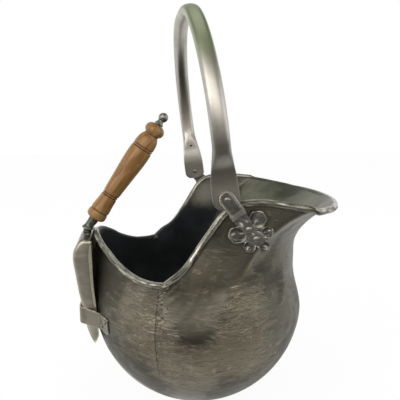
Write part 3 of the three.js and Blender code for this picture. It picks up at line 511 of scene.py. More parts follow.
def painted_shovel_shade(grid):
    """How far the points lie in the strip of wall behind the scoop that gets painted shade for the
    scoop's shadow.
    """
    sideways = 1 - smooth(*SHOVEL_SHADE_WIDTH, np.abs(grid[..., 1]))
    return 0.85 * sideways * (grid[..., 0] < 0) * smooth(*SHOVEL_SHADE_HEIGHT, grid[..., 2])


def rolled_sheet(angles, rim, rows, roll_radius, roll_steps=34):
    """Grid of a sheet's inside face up to the rim and round its outward roll."""
    angles = np.asarray(angles, float)
    fold = np.minimum(np.abs(angles), 360 - np.abs(angles))
    high = follow(rim, fold)
    low = PAN_SEAM_HEIGHT - CENTRE_HEIGHT
    share = 1 - (1 - np.linspace(0, 1, rows)) ** 1.35
    rise = low + (high - low)[None, :] * share[:, None]
    wall = wall_point(angles[None, :], rise, WALL)
    edge = wall[-1]
    along = unit(np.gradient(edge, axis=0))
    up = edge - wall[-2]
    up = unit(up - along * (up * along).sum(-1, keepdims=True))
    out = np.cross(along, up)
    outward = np.sign((out * edge * (1, 1, 0)).sum(-1, keepdims=True))
    out = unit(out * outward)
    centre = edge + out * roll_radius
    turns = np.radians(np.linspace(0, ROLL_TURN, roll_steps + 1)[1:])
    wobble = uneven(roll_steps, len(angles), 5, len(angles) // 4, SEEDS["roll"]) * 0.1
    roll = []
    for k, t in enumerate(turns):
        groove = ROLL_GROOVE_DEPTH * math.exp(-((math.degrees(t) - ROLL_GROOVE) / 11) ** 2)
        radius = (roll_radius - groove + wobble[k] * min(1, 4 * k / roll_steps))[:, None]
        roll.append(centre - out * radius * math.cos(t) + up * radius * math.sin(t))
    return np.concatenate([wall, np.array(roll)])


def sheet_piece(name, angles, rim, roll_radius):
    """A wall sheet: dented outside, painted inside, worn and given painted highlights on its crease
    and its roll, with painted shade inside the roll and behind the shovel.
    """
    rows = SHEET_ROWS[name]
    grid = rolled_sheet(angles, rim, rows, roll_radius)
    normal = grid_normals(grid)
    outward = np.sign((normal[0] * grid[0] * (1, 1, 0)).sum(-1).mean())
    dents = uneven(len(grid), len(angles), 26, len(angles) // 5, SEEDS["dents"])
    row = np.arange(len(grid))
    fade = smooth(0, 8, row) * (1 - smooth(rows - 10, rows - 2, row))
    hammered = (dents * fade[:, None] * DENT_DEPTH)[..., None]
    outside = grid + normal * outward * (WALL + hammered)
    spots = uneven(len(grid), len(angles), 34, len(angles) // 4, SEEDS["spots"])
    around = np.minimum(np.abs(angles), 360 - np.abs(angles))
    on_lip = 1 - smooth(ROLL_PAINT_FROM - 14, ROLL_PAINT_FROM + 2, around)
    turned = (row - rows + 1) * ROLL_TURN / (len(grid) - rows)
    turned = turned[:, None] + LIP_LINE_SHIFT * on_lip
    # The roll gets a painted highlight along its top, partly rubbed, and painted shade in the groove
    # just inside it.
    ridge_highlight = 0.6 * smooth(22, 38, turned) * (1 - smooth(120, 150, turned))
    groove_shade = 0.6 * smooth(-14, 0, turned) * (1 - smooth(14, 28, turned))
    roll_wear_and_light = np.clip(spots * 1.1 * smooth(20, 60, turned) + ridge_highlight - groove_shade, -0.7, 0.85)
    # On the wall: a pale line on the crease, partly rubbed and partly a painted highlight, and painted
    # shade behind the shovel.
    wear = np.where(turned > -16, roll_wear_and_light, 0.8 * on_crease(grid) - painted_shovel_shade(grid))
    # The seam edges stay in their upright planes.
    for j in (0, -1):
        sideways = unit(np.array([-grid[0, j, 1], grid[0, j, 0], 0]))
        step = outside[:, j] - grid[:, j]
        outside[:, j] = grid[:, j] + step - np.outer(step @ sideways, sideways)
    painted = np.where(around > ROLL_PAINT_FROM, rows + ROLL_PAINT_ROWS, rows - 4)[:-1]
    inside_index = np.where(row[:-1, None] < painted, 1, 2).ravel()
    outside_index = np.where(row[:-1, None] < rows, 0, 2) * np.ones_like(painted)
    shape = Shape()
    sheet_shape(shape, grid, outside, inside_index, outside_index.ravel(), 2, wear)
    return shape.piece(name, finishes("antiqued_outside", "painted_inside", "rolled_rim"), 60)


# ---- shader node helpers --------------------------------------------------------------

def add_node(tree, kind, inputs=None, **settings):
    made = tree.nodes.new(kind)
    for key, value in settings.items():
        setattr(made, key, value)
    for key, value in (inputs or {}).items():
        socket = made.inputs[key]
        if isinstance(value, bpy.types.NodeSocket):
            tree.links.new(value, socket)
        elif socket.type == "RGBA" and len(value) == 3:
            socket.default_value = (*value, 1)
        else:
            socket.default_value = value
    return made


def take(tree, kind, inputs=None, **settings):
    """Adds a node and gives its first output."""
    return add_node(tree, kind, inputs, **settings).outputs[0]


def object_place(tree):
    return tree.nodes.new("ShaderNodeTexCoord").outputs["Object"]


def split_xyz(tree, vector):
    return add_node(tree, "ShaderNodeSeparateXYZ", {0: vector}).outputs


def scaled_by(tree, vector, scale):
    return take(tree, "ShaderNodeVectorMath", {0: vector, "Scale": scale}, operation="SCALE")


def folded(tree, vector):
    """The vector with every part positive, which makes a pattern alike on both sides."""
    return take(tree, "ShaderNodeVectorMath", {0: vector}, operation="ABSOLUTE")


def distance_to(tree, vector, centre):
    """Distance from a fixed point, given in millimetres."""
    inputs = {0: vector, 1: tuple(c * MM for c in centre)}
    return add_node(tree, "ShaderNodeVectorMath", inputs, operation="DISTANCE").outputs["Value"]


def wear_and_light_attribute(tree):
    """The piece's wear and painted light: 1 on rubbed edges and painted highlights, -1 in dark
    recesses and painted shade.
    """
    inputs = {"attribute_name": "wear", "attribute_type": "GEOMETRY"}
    return add_node(tree, "ShaderNodeAttribute", **inputs).outputs["Fac"]


def stretched(tree, vector, scale, turn=(0, 0, 0), place=(0, 0, 0)):
    """Object coordinates moved, turned and scaled, so that a pattern runs one way."""
    inputs = {"Vector": vector, "Location": place, "Rotation": turn, "Scale": scale}
    return take(tree, "ShaderNodeMapping", inputs)


def noise(tree, vector, scale, detail=4.0, roughness=0.55, distortion=0.0):
    inputs = {"Vector": vector, "Scale": scale, "Detail": detail,
              "Roughness": roughness, "Distortion": distortion}
    return take(tree, "ShaderNodeTexNoise", inputs)


def spread(tree, value, low, high, to_low=0.0, to_high=1.0):
    inputs = {"Value": value, "From Min": low, "From Max": high,
              "To Min": to_low, "To Max": to_high}
    return take(tree, "ShaderNodeMapRange", inputs, interpolation_type="SMOOTHSTEP")


def sums(tree, operation, *values):
    return take(tree, "ShaderNodeMath", dict(enumerate(values)), operation=operation)


def times(tree, a, b):
    return sums(tree, "MULTIPLY", a, b)


def times_add(tree, a, b, c):
    return sums(tree, "MULTIPLY_ADD", a, b, c)


def clamped(tree, value):
    return take(tree, "ShaderNodeClamp", {0: value})


def blend(tree, share, a, b):
    return add_node(tree, "ShaderNodeMix", {0: share, 6: a, 7: b}, data_type="RGBA").outputs[2]


def new_group(name, inputs, outputs):
    """A shader node group with named inputs (name, socket kind, default) and outputs."""
    tree = bpy.data.node_groups.new(name, "ShaderNodeTree")
    for label, kind, value in inputs:
        socket = tree.interface.new_socket(label, in_out="INPUT", socket_type=f"NodeSocket{kind}")
        socket.default_value = (*value, 1) if kind == "Color" else value
    for label, kind in outputs:
        tree.interface.new_socket(label, in_out="OUTPUT", socket_type=f"NodeSocket{kind}")
    source = tree.nodes.new("NodeGroupInput")
    drain = tree.nodes.new("NodeGroupOutput")
    return tree, source.outputs, drain.inputs


def use_group(tree, name, inputs):
    return add_node(tree, "ShaderNodeGroup", inputs, node_tree=bpy.data.node_groups[name]).outputs


def make_patina_group():
    """Mottled antique steel: broad patches, level wrinkles, specks, painted glints and their relief.
    """
    tree, given, result = new_group(
        "Antique patina",
        [("Metal", "Color", (0.2, 0.19, 0.16)), ("Patina", "Color", (0.07, 0.06, 0.04)),
         ("Rubbed", "Color", (0.3, 0.27, 0.2)), ("Patches", "Float", 0.5),
         ("Streaks", "Float", 0.5), ("Grain", "Float", 0.5), ("Size", "Float", 1.0),
         ("Places", "Float", 0.0)],
        [("Color", "Color"), ("Roughness", "Float"), ("Height", "Float")],
    )
    scaled = scaled_by(tree, object_place(tree), given["Size"])
    broad = noise(tree, scaled, 15, 3, 0.55, 0.4)
    clouds = noise(tree, stretched(tree, scaled, (1, 1, 1.7), place=(0.4, 0.1, 0.7)), 48, 6, 0.68, 0.5)
    level = noise(tree, stretched(tree, scaled, (1, 1, 3.2)), 30, 4, 0.6, 2.2)
    thin = noise(tree, stretched(tree, scaled, (1, 1, 3.6), turn=(0.05, 0.04, 0)), 66, 4, 0.62, 1.8)
    specks = noise(tree, scaled, 340, 3, 0.75)
    # Dark patina gathers in broad patches and in the places of negative strength, which are partly a
    # painted dark reflection; the rubbed places show the pale metal.
    patina_and_shade = clamped(tree, times(tree, given["Places"], -1.0))
    patch = times(tree, spread(tree, broad, 0.42, 0.6), given["Patches"])
    patch = sums(tree, "MAXIMUM", patch, patina_and_shade)
    body = blend(tree, patch, given["Metal"], given["Patina"])
    ragged = times_add(tree, clouds, 1.3, times_add(tree, level, 1.4, -1.4))
    shown = sums(tree, "ADD", given["Places"], ragged)
    rubbed = times(tree, spread(tree, shown, 0.0, 1.15), given["Patches"])
    body = blend(tree, rubbed, body, given["Rubbed"])
    # Glints: small painted highlights in the rubbed places.
    glints = noise(tree, stretched(tree, scaled, (1, 1, 2.2), place=(0.2, 0.3, 0)), 105, 3, 0.55, 1.3)
    glint = times(tree, spread(tree, glints, 0.57, 0.72), rubbed)
    lit = blend(tree, 0.6, given["Rubbed"], (0.62, 0.56, 0.45))
    body = blend(tree, glint, body, lit)
    streak = times(tree, spread(tree, level, 0.54, 0.66), given["Streaks"])
    body = blend(tree, times(tree, streak, 0.4), body, given["Rubbed"])
    dark = times(tree, spread(tree, thin, 0.52, 0.7), given["Streaks"])
    body = blend(tree, times(tree, dark, 0.6), body, given["Patina"])
    speck = times(tree, spread(tree, specks, 0.58, 0.7), given["Grain"])
    body = blend(tree, times(tree, speck, 0.6), body, given["Patina"])
    tree.links.new(body, result["Color"])
    rough = times_add(tree, patch, 0.1, 0.36)
    rough = times_add(tree, dark, 0.14, rough)
    tree.links.new(rough, result["Roughness"])
    wrinkled = times_add(tree, rubbed, 0.8, 0.2)
    relief = times_add(tree, level, 0.8, times(tree, clouds, 0.4))
    relief = times_add(tree, thin, 0.7, relief)
    relief = times_add(tree, glints, 0.35, relief)
    relief = times(tree, relief, wrinkled)
    relief = times_add(tree, specks, 0.08, relief)
    tree.links.new(relief, result["Height"])


def make_places_group():
    """Where the body is rubbed, and where it is darkened, partly as a painted dark reflection: round
    patches of different size, alike on both sides.
    """
    tree, given, result = new_group("Rubbed places", [("Amount", "Float", 1.0)], [("Mask", "Float")])
    where = object_place(tree)
    split = split_xyz(tree, where)
    side = split_xyz(tree, folded(tree, where))["Y"]
    mirrored = take(tree, "ShaderNodeCombineXYZ", {"X": split["X"], "Y": side, "Z": split["Z"]})
    total = None
    for place, reach, strength in RUBBED_AND_SHADED_PLACES:
        away = distance_to(tree, mirrored, place)
        mask = spread(tree, away, reach * MM, reach * 0.25 * MM, 0.0, strength)
        total = mask if total is None else sums(tree, "ADD", total, mask)
    tree.links.new(times(tree, total, given["Amount"]), result["Mask"])


def make_scratch_group():
    """Long thin scratches in three directions, as a mask."""
    tree, given, result = new_group(
        "Fine scratches",
        [("Size", "Float", 1.0), ("Amount", "Float", 0.5)],
        [("Mask", "Float")],
    )
    scaled = scaled_by(tree, object_place(tree), given["Size"])
    runs = [((0.3, 0.5, 0.2), (0.1, 0.2, 0)), ((-0.5, 0.2, 0.9), (0.7, 0, 0.3)),
            ((0.1, -0.9, 1.7), (0, 0.5, 0.8))]
    total = None
    for turn, place in runs:
        lines = noise(tree, stretched(tree, scaled, (34, 1300, 34), turn, place), 1.0, 2, 0.5)
        hairs = spread(tree, lines, 0.66, 0.72)
        clusters = noise(tree, stretched(tree, scaled, (1, 1, 1), turn, place), 24, 1)
        hairs = times(tree, hairs, spread(tree, clusters, 0.5, 0.62))
        total = hairs if total is None else sums(tree, "MAXIMUM", total, hairs)
    tree.links.new(times(tree, total, given["Amount"]), result["Mask"])


def make_wear_group():
    """Masks of rubbed edges and painted highlights, and of dark recesses and painted shade: the
    piece's wear attribute, from 1 to -1.
    """
    tree, given, result = new_group(
        "Edge wear",
        [("Amount", "Float", 1.0), ("Break up", "Float", 0.5)],
        [("Mask", "Float"), ("Recess", "Float")],
    )
    rubbed = wear_and_light_attribute(tree)
    tree.links.new(clamped(tree, times(tree, rubbed, -1.0)), result["Recess"])
    broken = spread(tree, noise(tree, object_place(tree), 140, 4, 0.6), 0.35, 0.6)
    kept = times_add(tree, sums(tree, "SUBTRACT", broken, 1.0), given["Break up"], 1.0)
    mask = times(tree, times(tree, rubbed, kept), given["Amount"])
    tree.links.new(clamped(tree, mask), result["Mask"])


def new_material(name, kind="ShaderNodeBsdfPrincipled"):
    """A material with one shader on its output."""
    material = bpy.data.materials.new(name)
    material.use_nodes = True
    tree = material.node_tree
    tree.nodes.clear()
    shader = tree.nodes.new(kind)
    add_node(tree, "ShaderNodeOutputMaterial", {"Surface": shader.outputs[0]})
    return material, tree, shader


def dress(tree, shader, **inputs):
    """Sets or links the shader's inputs, named with underscores for spaces."""
    for label, value in inputs.items():
        socket = shader.inputs[label.replace("_", " ")]
        if isinstance(value, bpy.types.NodeSocket):
            tree.links.new(value, socket)
        else:
            socket.default_value = value


def bumped(tree, shader, height, strength, distance=0.0004):
    inputs = {"Height": height, "Strength": strength, "Distance": distance}
    dress(tree, shader, Normal=take(tree, "ShaderNodeBump", inputs))


def steel_finish(name, metal, patina, rubbed, patches=0.6, streaks=0.5, grain=0.5, size=1.0,
                 metallic=0.8, shine=0.0, scratch=0.4, relief=0.25, places=0.0, even=0.35, tint=None):
    """One antique steel finish, from the shared patina, scratch and wear groups."""
    material, tree, shader = new_material(name)
    shown = even
    if places:
        shown = use_group(tree, "Rubbed places", {"Amount": places})["Mask"]
    skin = use_group(tree, "Antique patina", {
        "Metal": metal, "Patina": patina, "Rubbed": rubbed, "Places": shown,
        "Patches": patches, "Streaks": streaks, "Grain": grain, "Size": size,
    })
    scratches = use_group(tree, "Fine scratches", {"Size": size, "Amount": scratch})["Mask"]
    edges = use_group(tree, "Edge wear", {"Amount": 1.0, "Break up": 0.45})
    worn = edges["Mask"]
    bright = tuple(min(1, c * 1.45) for c in rubbed)
    colour = blend(tree, scratches, skin["Color"], bright)
    if tint:
        where = split_xyz(tree, object_place(tree))
        high = spread(tree, where["Z"], 0.375, 0.41)
        near = spread(tree, where["Y"], -0.005, -0.05)
        share = times(tree, high, times(tree, near, 0.6))
        colour = blend(tree, share, colour, tint)
    # Dark recesses and painted shade darken towards the patina; rubbed edges and painted highlights
    # turn bright.
    colour = blend(tree, edges["Recess"], colour, tuple(c * 0.3 for c in patina))
    colour = blend(tree, worn, colour, bright)
    rough = times_add(tree, worn, -0.12, sums(tree, "SUBTRACT", skin["Roughness"], shine))
    dress(tree, shader, Base_Color=colour, Roughness=rough, Metallic=metallic)
    height = times_add(tree, scratches, -0.5, skin["Height"])
    bumped(tree, shader, height, relief, 0.0012)
    return material


def inside_finish(looks):
    """Black paint that stops below the lip, and bare steel above it."""
    material, tree, shader = new_material("Painted inside")
    where = object_place(tree)
    ragged = times_add(tree, noise(tree, where, 60, 4, 0.6), 0.012, split_xyz(tree, where)["Z"])
    paint_top = PAINT_TOP * MM
    bare = spread(tree, ragged, paint_top, paint_top + 0.022)
    skin = use_group(tree, "Antique patina", {
        "Metal": looks.inside_bare[:], "Patina": (0.06, 0.062, 0.045), "Rubbed": (0.24, 0.25, 0.2),
        "Patches": 0.7, "Streaks": 0.35, "Grain": 0.4, "Size": 1.0,
    })
    scratches = use_group(tree, "Fine scratches", {"Size": 1.0, "Amount": 0.35})["Mask"]
    steel = blend(tree, scratches, skin["Color"], (0.5, 0.5, 0.45))
    # A pale painted highlight on the bare steel inside the lip.
    away = distance_to(tree, folded(tree, where), INSIDE_HIGHLIGHT)
    away = times_add(tree, noise(tree, where, 90, 4, 0.6), 0.02, away)
    steel = blend(tree, spread(tree, away, 0.04, 0.012), steel, (0.62, 0.58, 0.5))
    mottle = spread(tree, noise(tree, where, 30, 5, 0.6), 0.35, 0.75)
    paint = blend(tree, mottle, looks.inside_paint[:], (0.078, 0.088, 0.092))
    dress(tree, shader, Base_Color=blend(tree, bare, paint, steel), Specular_IOR_Level=0.3,
          Metallic=times(tree, bare, 0.8), Roughness=times_add(tree, bare, -0.12, 0.5))
    bumped(tree, shader, skin["Height"], 0.2)
    return material


def vent_shade_finish():
    """Bore of the vent hole, near black with no shine: painted shade for the dark of the hole."""
    material, tree, shader = new_material("Vent bore")
    grain = noise(tree, object_place(tree), 400)
    mottle = blend(tree, grain, (0.006, 0.006, 0.005), (0.014, 0.013, 0.011))
    dress(tree, shader, Base_Color=mottle, Roughness=1.0, Specular_IOR_Level=0.0)
    return material


def wood_finish(looks):
    """Turned and varnished wood: grain along the grip, darker in its grooves and ends."""
    material, tree, shader = new_material("Varnished wood")
    inputs = {0: object_place(tree), 1: tuple(-c * MM for c in GRIP_FOOT)}
    moved = take(tree, "ShaderNodeVectorMath", inputs, operation="ADD")
    upright = stretched(tree, moved, (1, 1, 1), turn=(0, -GRIP_LEAN, 0))
    fibre = noise(tree, stretched(tree, upright, (1, 1, 0.07)), 520, 5, 0.66, 0.4)
    bands = noise(tree, stretched(tree, upright, (1, 1, 0.14)), 130, 3, 0.55, 0.8)
    blotch = noise(tree, stretched(tree, upright, (1, 1, 0.45)), 62, 3, 0.5)
    colour = blend(tree, spread(tree, bands, 0.4, 0.6), looks.wood_light[:], looks.wood_mid[:])
    lines = times(tree, spread(tree, fibre, 0.5, 0.66), 0.55)
    colour = blend(tree, lines, colour, looks.wood_dark[:])
    pale = times(tree, spread(tree, blotch, 0.5, 0.68), 0.55)
    colour = blend(tree, pale, colour, (0.5, 0.31, 0.135))
    colour = blend(tree, wear_and_light_attribute(tree), colour, (0.05, 0.02, 0.008))
    dress(tree, shader, Base_Color=colour, Roughness=spread(tree, fibre, 0.3, 0.8, 0.34, 0.5),
          Specular_IOR_Level=0.25, Coat_Weight=0.35, Coat_Roughness=0.3)
    bumped(tree, shader, fibre, 0.25, 0.0003)
    return material


# Colours and strengths of each steel finish. A name stands for one of the settings.
STEELS = {
    "antiqued_outside": dict(
        metal="body_metal", patina=(0.062, 0.056, 0.038), rubbed=(0.305, 0.265, 0.192),
        patches=0.85, streaks=0.7, grain=0.75, metallic=0.72, scratch=0.2, relief=0.8, places=1.0),
    "rolled_rim": dict(
        metal=(0.31, 0.3, 0.25), patina=(0.1, 0.095, 0.07), rubbed=(0.46, 0.44, 0.38),
        patches=0.7, streaks=0.3, grain=0.6, size=1.6, metallic=0.85, shine=0.05, relief=0.3),
    "lug_steel": dict(
        metal=(0.23, 0.22, 0.19), patina=(0.1, 0.095, 0.08), rubbed=(0.46, 0.44, 0.39),
        patches=0.6, streaks=0.1, grain=0.6, size=1.8, metallic=0.7, relief=0.25),
    "shoulder_steel": dict(
        metal=(0.44, 0.43, 0.385), patina=(0.3, 0.29, 0.255), rubbed=(0.55, 0.54, 0.5),
        patches=0.4, streaks=0.1, grain=0.4, size=1.8, metallic=0.25, relief=0.15),
    "bail_steel": dict(
        metal="bright_metal", patina=(0.4, 0.375, 0.32), rubbed=(0.66, 0.63, 0.58),
        patches=0.5, streaks=0.08, grain=0.12, size=1.0, metallic=1.0, shine=0.0, scratch=0.12,
        relief=0.05, tint=(0.42, 0.49, 0.29)),
    "scoop_steel": dict(
        metal=(0.54, 0.51, 0.42), patina=(0.3, 0.27, 0.215), rubbed=(0.7, 0.66, 0.52),
        patches=0.6, streaks=0.2, grain=0.35, size=1.2, metallic=0.8, relief=0.2),
    "strap_steel": dict(
        metal=(0.31, 0.29, 0.23), patina=(0.15, 0.135, 0.105), rubbed=(0.42, 0.39, 0.32),
        patches=0.5, streaks=0.25, grain=0.4, size=1.5, metallic=0.8, relief=0.22),
    "neck_steel": dict(
        metal=(0.14, 0.145, 0.115), patina=(0.075, 0.08, 0.06), rubbed=(0.26, 0.265, 0.21),
        patches=0.5, streaks=0.1, grain=0.5, size=2.0, metallic=0.8, relief=0.2),
    "rivet_steel": dict(
        metal=(0.3, 0.29, 0.26), patina=(0.12, 0.11, 0.09), rubbed=(0.5, 0.48, 0.44),
        patches=0.5, streaks=0.0, grain=0.5, size=3.0, metallic=0.9, relief=0.2),
    "solder": dict(
        metal=(0.25, 0.225, 0.17), patina=(0.12, 0.105, 0.075), rubbed=(0.36, 0.33, 0.27),
        patches=0.7, streaks=0.2, grain=0.5, size=2.0, metallic=0.75, relief=0.3),
}


def finish(name):
    """A finish by its name, made the first time that a piece asks for it."""
    found = bpy.data.materials.get(name)
    if found:
        return found
    looks = bpy.context.scene.scuttle_looks
    if not bpy.data.node_groups.get("Antique patina"):
        make_patina_group()
        make_places_group()
        make_scratch_group()
        make_wear_group()
    if name == "painted_inside":
        material = inside_finish(looks)
    elif name == "varnished_wood":
        material = wood_finish(looks)
    elif name == "vent_dark":
        material = vent_shade_finish()
    else:
        recipe = dict(STEELS[name])
        if isinstance(recipe["metal"], str):
            recipe["metal"] = tuple(getattr(looks, recipe["metal"]))
        material = steel_finish(name, **recipe)
    material.name = name
    return material


def finishes(*names):
    return [finish(name) for name in names]


# ---- geometry node helpers ------------------------------------------------------------

def new_geometry_tree(name, inputs):
    """A geometry tree with named inputs (name, socket kind, default), a material last."""
    tree = bpy.data.node_groups.new(name, "GeometryNodeTree")
    rows = [("Geometry", "Geometry", None), *inputs, ("Material", "Material", None)]
    for label, kind, value in rows:
        socket = tree.interface.new_socket(label, in_out="INPUT", socket_type=f"NodeSocket{kind}")
        if value is not None:
            socket.default_value = value
    tree.interface.new_socket("Geometry", in_out="OUTPUT", socket_type="NodeSocketGeometry")
    return tree, tree.nodes.new("NodeGroupInput").outputs


def named(tree, label, kind="FLOAT"):
    return take(tree, "GeometryNodeInputNamedAttribute", {"Name": label}, data_type=kind)


def turned_to(tree, direction):
    return take(tree, "FunctionNodeAlignEulerToVector", {"Vector": direction}, axis="Z")


def flat_ball(tree, height, segments, rings):
    """A ball of radius 1, flattened to a height."""
    sizes = {"Segments": segments, "Rings": rings, "Radius": 1.0}
    ball = take(tree, "GeometryNodeMeshUVSphere", sizes)
    scale = take(tree, "ShaderNodeCombineXYZ", {"X": 1.0, "Y": 1.0, "Z": height})
    return take(tree, "GeometryNodeTransform", {"Geometry": ball, "Scale": scale})


def copies(tree, points, instance, turn, scale):
    inputs = {"Points": points, "Instance": instance, "Rotation": turn, "Scale": scale}
    return take(tree, "GeometryNodeInstanceOnPoints", inputs)


def end_tree(tree, geometry, material):
    """Makes the copies real, gives them the material and hands them out."""
    real = take(tree, "GeometryNodeRealizeInstances", {"Geometry": geometry})
    dressed = take(tree, "GeometryNodeSetMaterial", {"Geometry": real, "Material": material})
    add_node(tree, "NodeGroupOutput", {"Geometry": dressed})
    return tree


def grown(name, points, attributes, tree, values, material, sharp=40):
    """Runs a geometry tree over loose points with attributes and keeps the plain mesh."""
    mesh = bpy.data.meshes.new(name)
    mesh.from_pydata((np.asarray(points, float) * MM).tolist(), [], [])
    for label, rows in attributes.items():
        rows = np.asarray(rows, np.float32)
        kind, field = ("FLOAT_VECTOR", "vector") if rows.ndim == 2 else ("FLOAT", "value")
        mesh.attributes.new(label, kind, "POINT").data.foreach_set(field, rows.ravel())
    piece = bpy.data.objects.new(name, mesh)
    bpy.context.scene.collection.objects.link(piece)
    modifier = piece.modifiers.new("Grow", "NODES")
    modifier.node_group = tree
    inputs = [item for item in tree.interface.items_tree if item.in_out == "INPUT"]
    sockets = {item.name: item.identifier for item in inputs}
    for label, value in {**values, "Material": material}.items():
        modifier[sockets[label]] = value
    keep_result(piece)
    result = piece.data
    if not result.materials:
        result.materials.append(material)
    result.polygons.foreach_set("use_smooth", [True] * len(result.polygons))
    result.set_sharp_from_angle(angle=math.radians(sharp))
    return piece


def rivet_tree():
    """Domed heads, with a flat inner head on a shaft, turned to each point's direction."""
    tree, given = new_geometry_tree("Rivet row", [
        ("Dome", "Float", 0.5), ("Inner head", "Float", 0.82)])
    points, head, grip = given["Geometry"], named(tree, "head"), named(tree, "grip")
    direction = named(tree, "facing", "FLOAT_VECTOR")
    facing = turned_to(tree, direction)
    outer = copies(tree, points, flat_ball(tree, given["Dome"], 28, 16), facing, head)
    inward = scaled_by(tree, scaled_by(tree, direction, grip), -1.0)
    moved = take(tree, "GeometryNodeSetPosition", {"Geometry": points, "Offset": inward})
    small = times(tree, head, given["Inner head"])
    inner = copies(tree, moved, flat_ball(tree, 0.34, 28, 16), facing, small)
    rod = take(tree, "GeometryNodeMeshCylinder", {"Vertices": 20, "Radius": 1.0, "Depth": 1.0})
    rod = take(tree, "GeometryNodeTransform", {"Geometry": rod, "Translation": (0, 0, -0.5)})
    thick = times(tree, head, 0.45)
    rod_size = take(tree, "ShaderNodeCombineXYZ", {"X": thick, "Y": thick, "Z": grip})
    both = tree.nodes.new("GeometryNodeJoinGeometry")
    for part in (outer, inner, copies(tree, points, rod, facing, rod_size)):
        tree.links.new(part, both.inputs[0])
    return end_tree(tree, both.outputs[0], given["Material"])


def solder_tree():
    """Flat blobs of solder of uneven size along a seam."""
    tree, given = new_geometry_tree("Soldered seam", [
        ("Blob", "Float", 0.001), ("Flatness", "Float", 0.3), ("Seed", "Int", 7)])
    blob = flat_ball(tree, given["Flatness"], 12, 8)
    facing = turned_to(tree, named(tree, "facing", "FLOAT_VECTOR"))
    inputs = {2: 0.6, 3: 1.35, "Seed": given["Seed"]}
    swell = add_node(tree, "FunctionNodeRandomValue", inputs, data_type="FLOAT").outputs[1]
    scale = times(tree, times(tree, named(tree, "width"), swell), given["Blob"])
    blobs = copies(tree, given["Geometry"], blob, facing, scale)
    return end_tree(tree, blobs, given["Material"])


# ---- lugs -----------------------------------------------------------------------------

def lug_xz(along, across):
    x = PIVOT_X + along * math.cos(LUG_ANGLE) - across * math.sin(LUG_ANGLE)
    return x, PIVOT_HEIGHT + along * math.sin(LUG_ANGLE) + across * math.cos(LUG_ANGLE)


def on_cheek(along, across, height):
    """Points laid on the left cheek: along and across the lug's strap, and off the cheek."""
    x, z = lug_xz(np.asarray(along, float), np.asarray(across, float))
    return np.stack([x, cheek_at(x, z - CENTRE_HEIGHT) + GAP + height, z], -1)


def leaf_blade(shape, place, heading, side, radius, height, veins, cup):
    """A cupped leaf with a raised rim and veins that run from its foot to its rim."""
    rings, spokes = 16, 72
    reach = np.linspace(0, 1, rings + 1)[1:]
    r, a = np.meshgrid(reach, full_turn(spokes), indexing="ij")
    footward = np.maximum(-np.cos(a - heading), 0)
    outline = radius * (1 + 0.32 * footward ** 2) * (1 + 0.03 * np.cos(6 * (a - heading)))
    u, v = r * outline * np.cos(a), r * outline * np.sin(a)
    rim = np.exp(-((r - 0.84) / 0.13) ** 2) * (1 - footward)
    drop = smooth(0.96, 1.0, r)
    # Veins fan out from the foot of the leaf, which lies towards the rivets.
    foot = -0.95 * radius
    ahead = u * math.cos(heading) + v * math.sin(heading) - foot
    aside = -u * math.sin(heading) + v * math.cos(heading)
    fan = np.arctan2(aside, np.maximum(ahead, 0.2))
    wave = np.cos(fan * veins)
    inside = smooth(0.1, 0.3, r) * (1 - 0.7 * smooth(0.75, 0.9, r))
    vein = np.maximum(wave, 0) ** 3 * inside
    top = height * (0.42 + 0.58 * rim) - cup * (1 - r ** 2) * 0.45 + 0.7 * vein + 0.7 * footward * r
    top = mix(top, height * 0.35, drop)
    furrow = np.maximum(-wave, 0) * inside
    wear = np.clip(0.75 * rim + 0.5 * vein - 0.6 * furrow - 0.5 * drop - 0.15, -1, 1)
    middle = height * 0.42 - cup * 0.45
    upper = on_cheek(place[0] + u, place[1] + v, top)
    lower = on_cheek(place[0] + u[-1], place[1] + v[-1], 0.25 + 0 * top[-1])
    centre = on_cheek(*place, middle)
    base = on_cheek(*place, 0.25)
    points = np.concatenate([[centre], upper.reshape(-1, 3), lower, [base]])
    faces = [(0, 1 + (j + 1) % spokes, 1 + j) for j in range(spokes)]
    faces += grid_faces(rings, spokes, start=1, loop=True)
    edge, under = 1 + (rings - 1) * spokes, 1 + rings * spokes
    for j in range(spokes):
        k = (j + 1) % spokes
        faces.append((edge + j, edge + k, under + k, under + j))
        faces.append((under + j, under + k, len(points) - 1))
    rubbed = np.concatenate([[0], wear.ravel(), np.zeros(spokes + 1)])
    shape.add(points * (1, side, 1), faces, 0, rubbed)


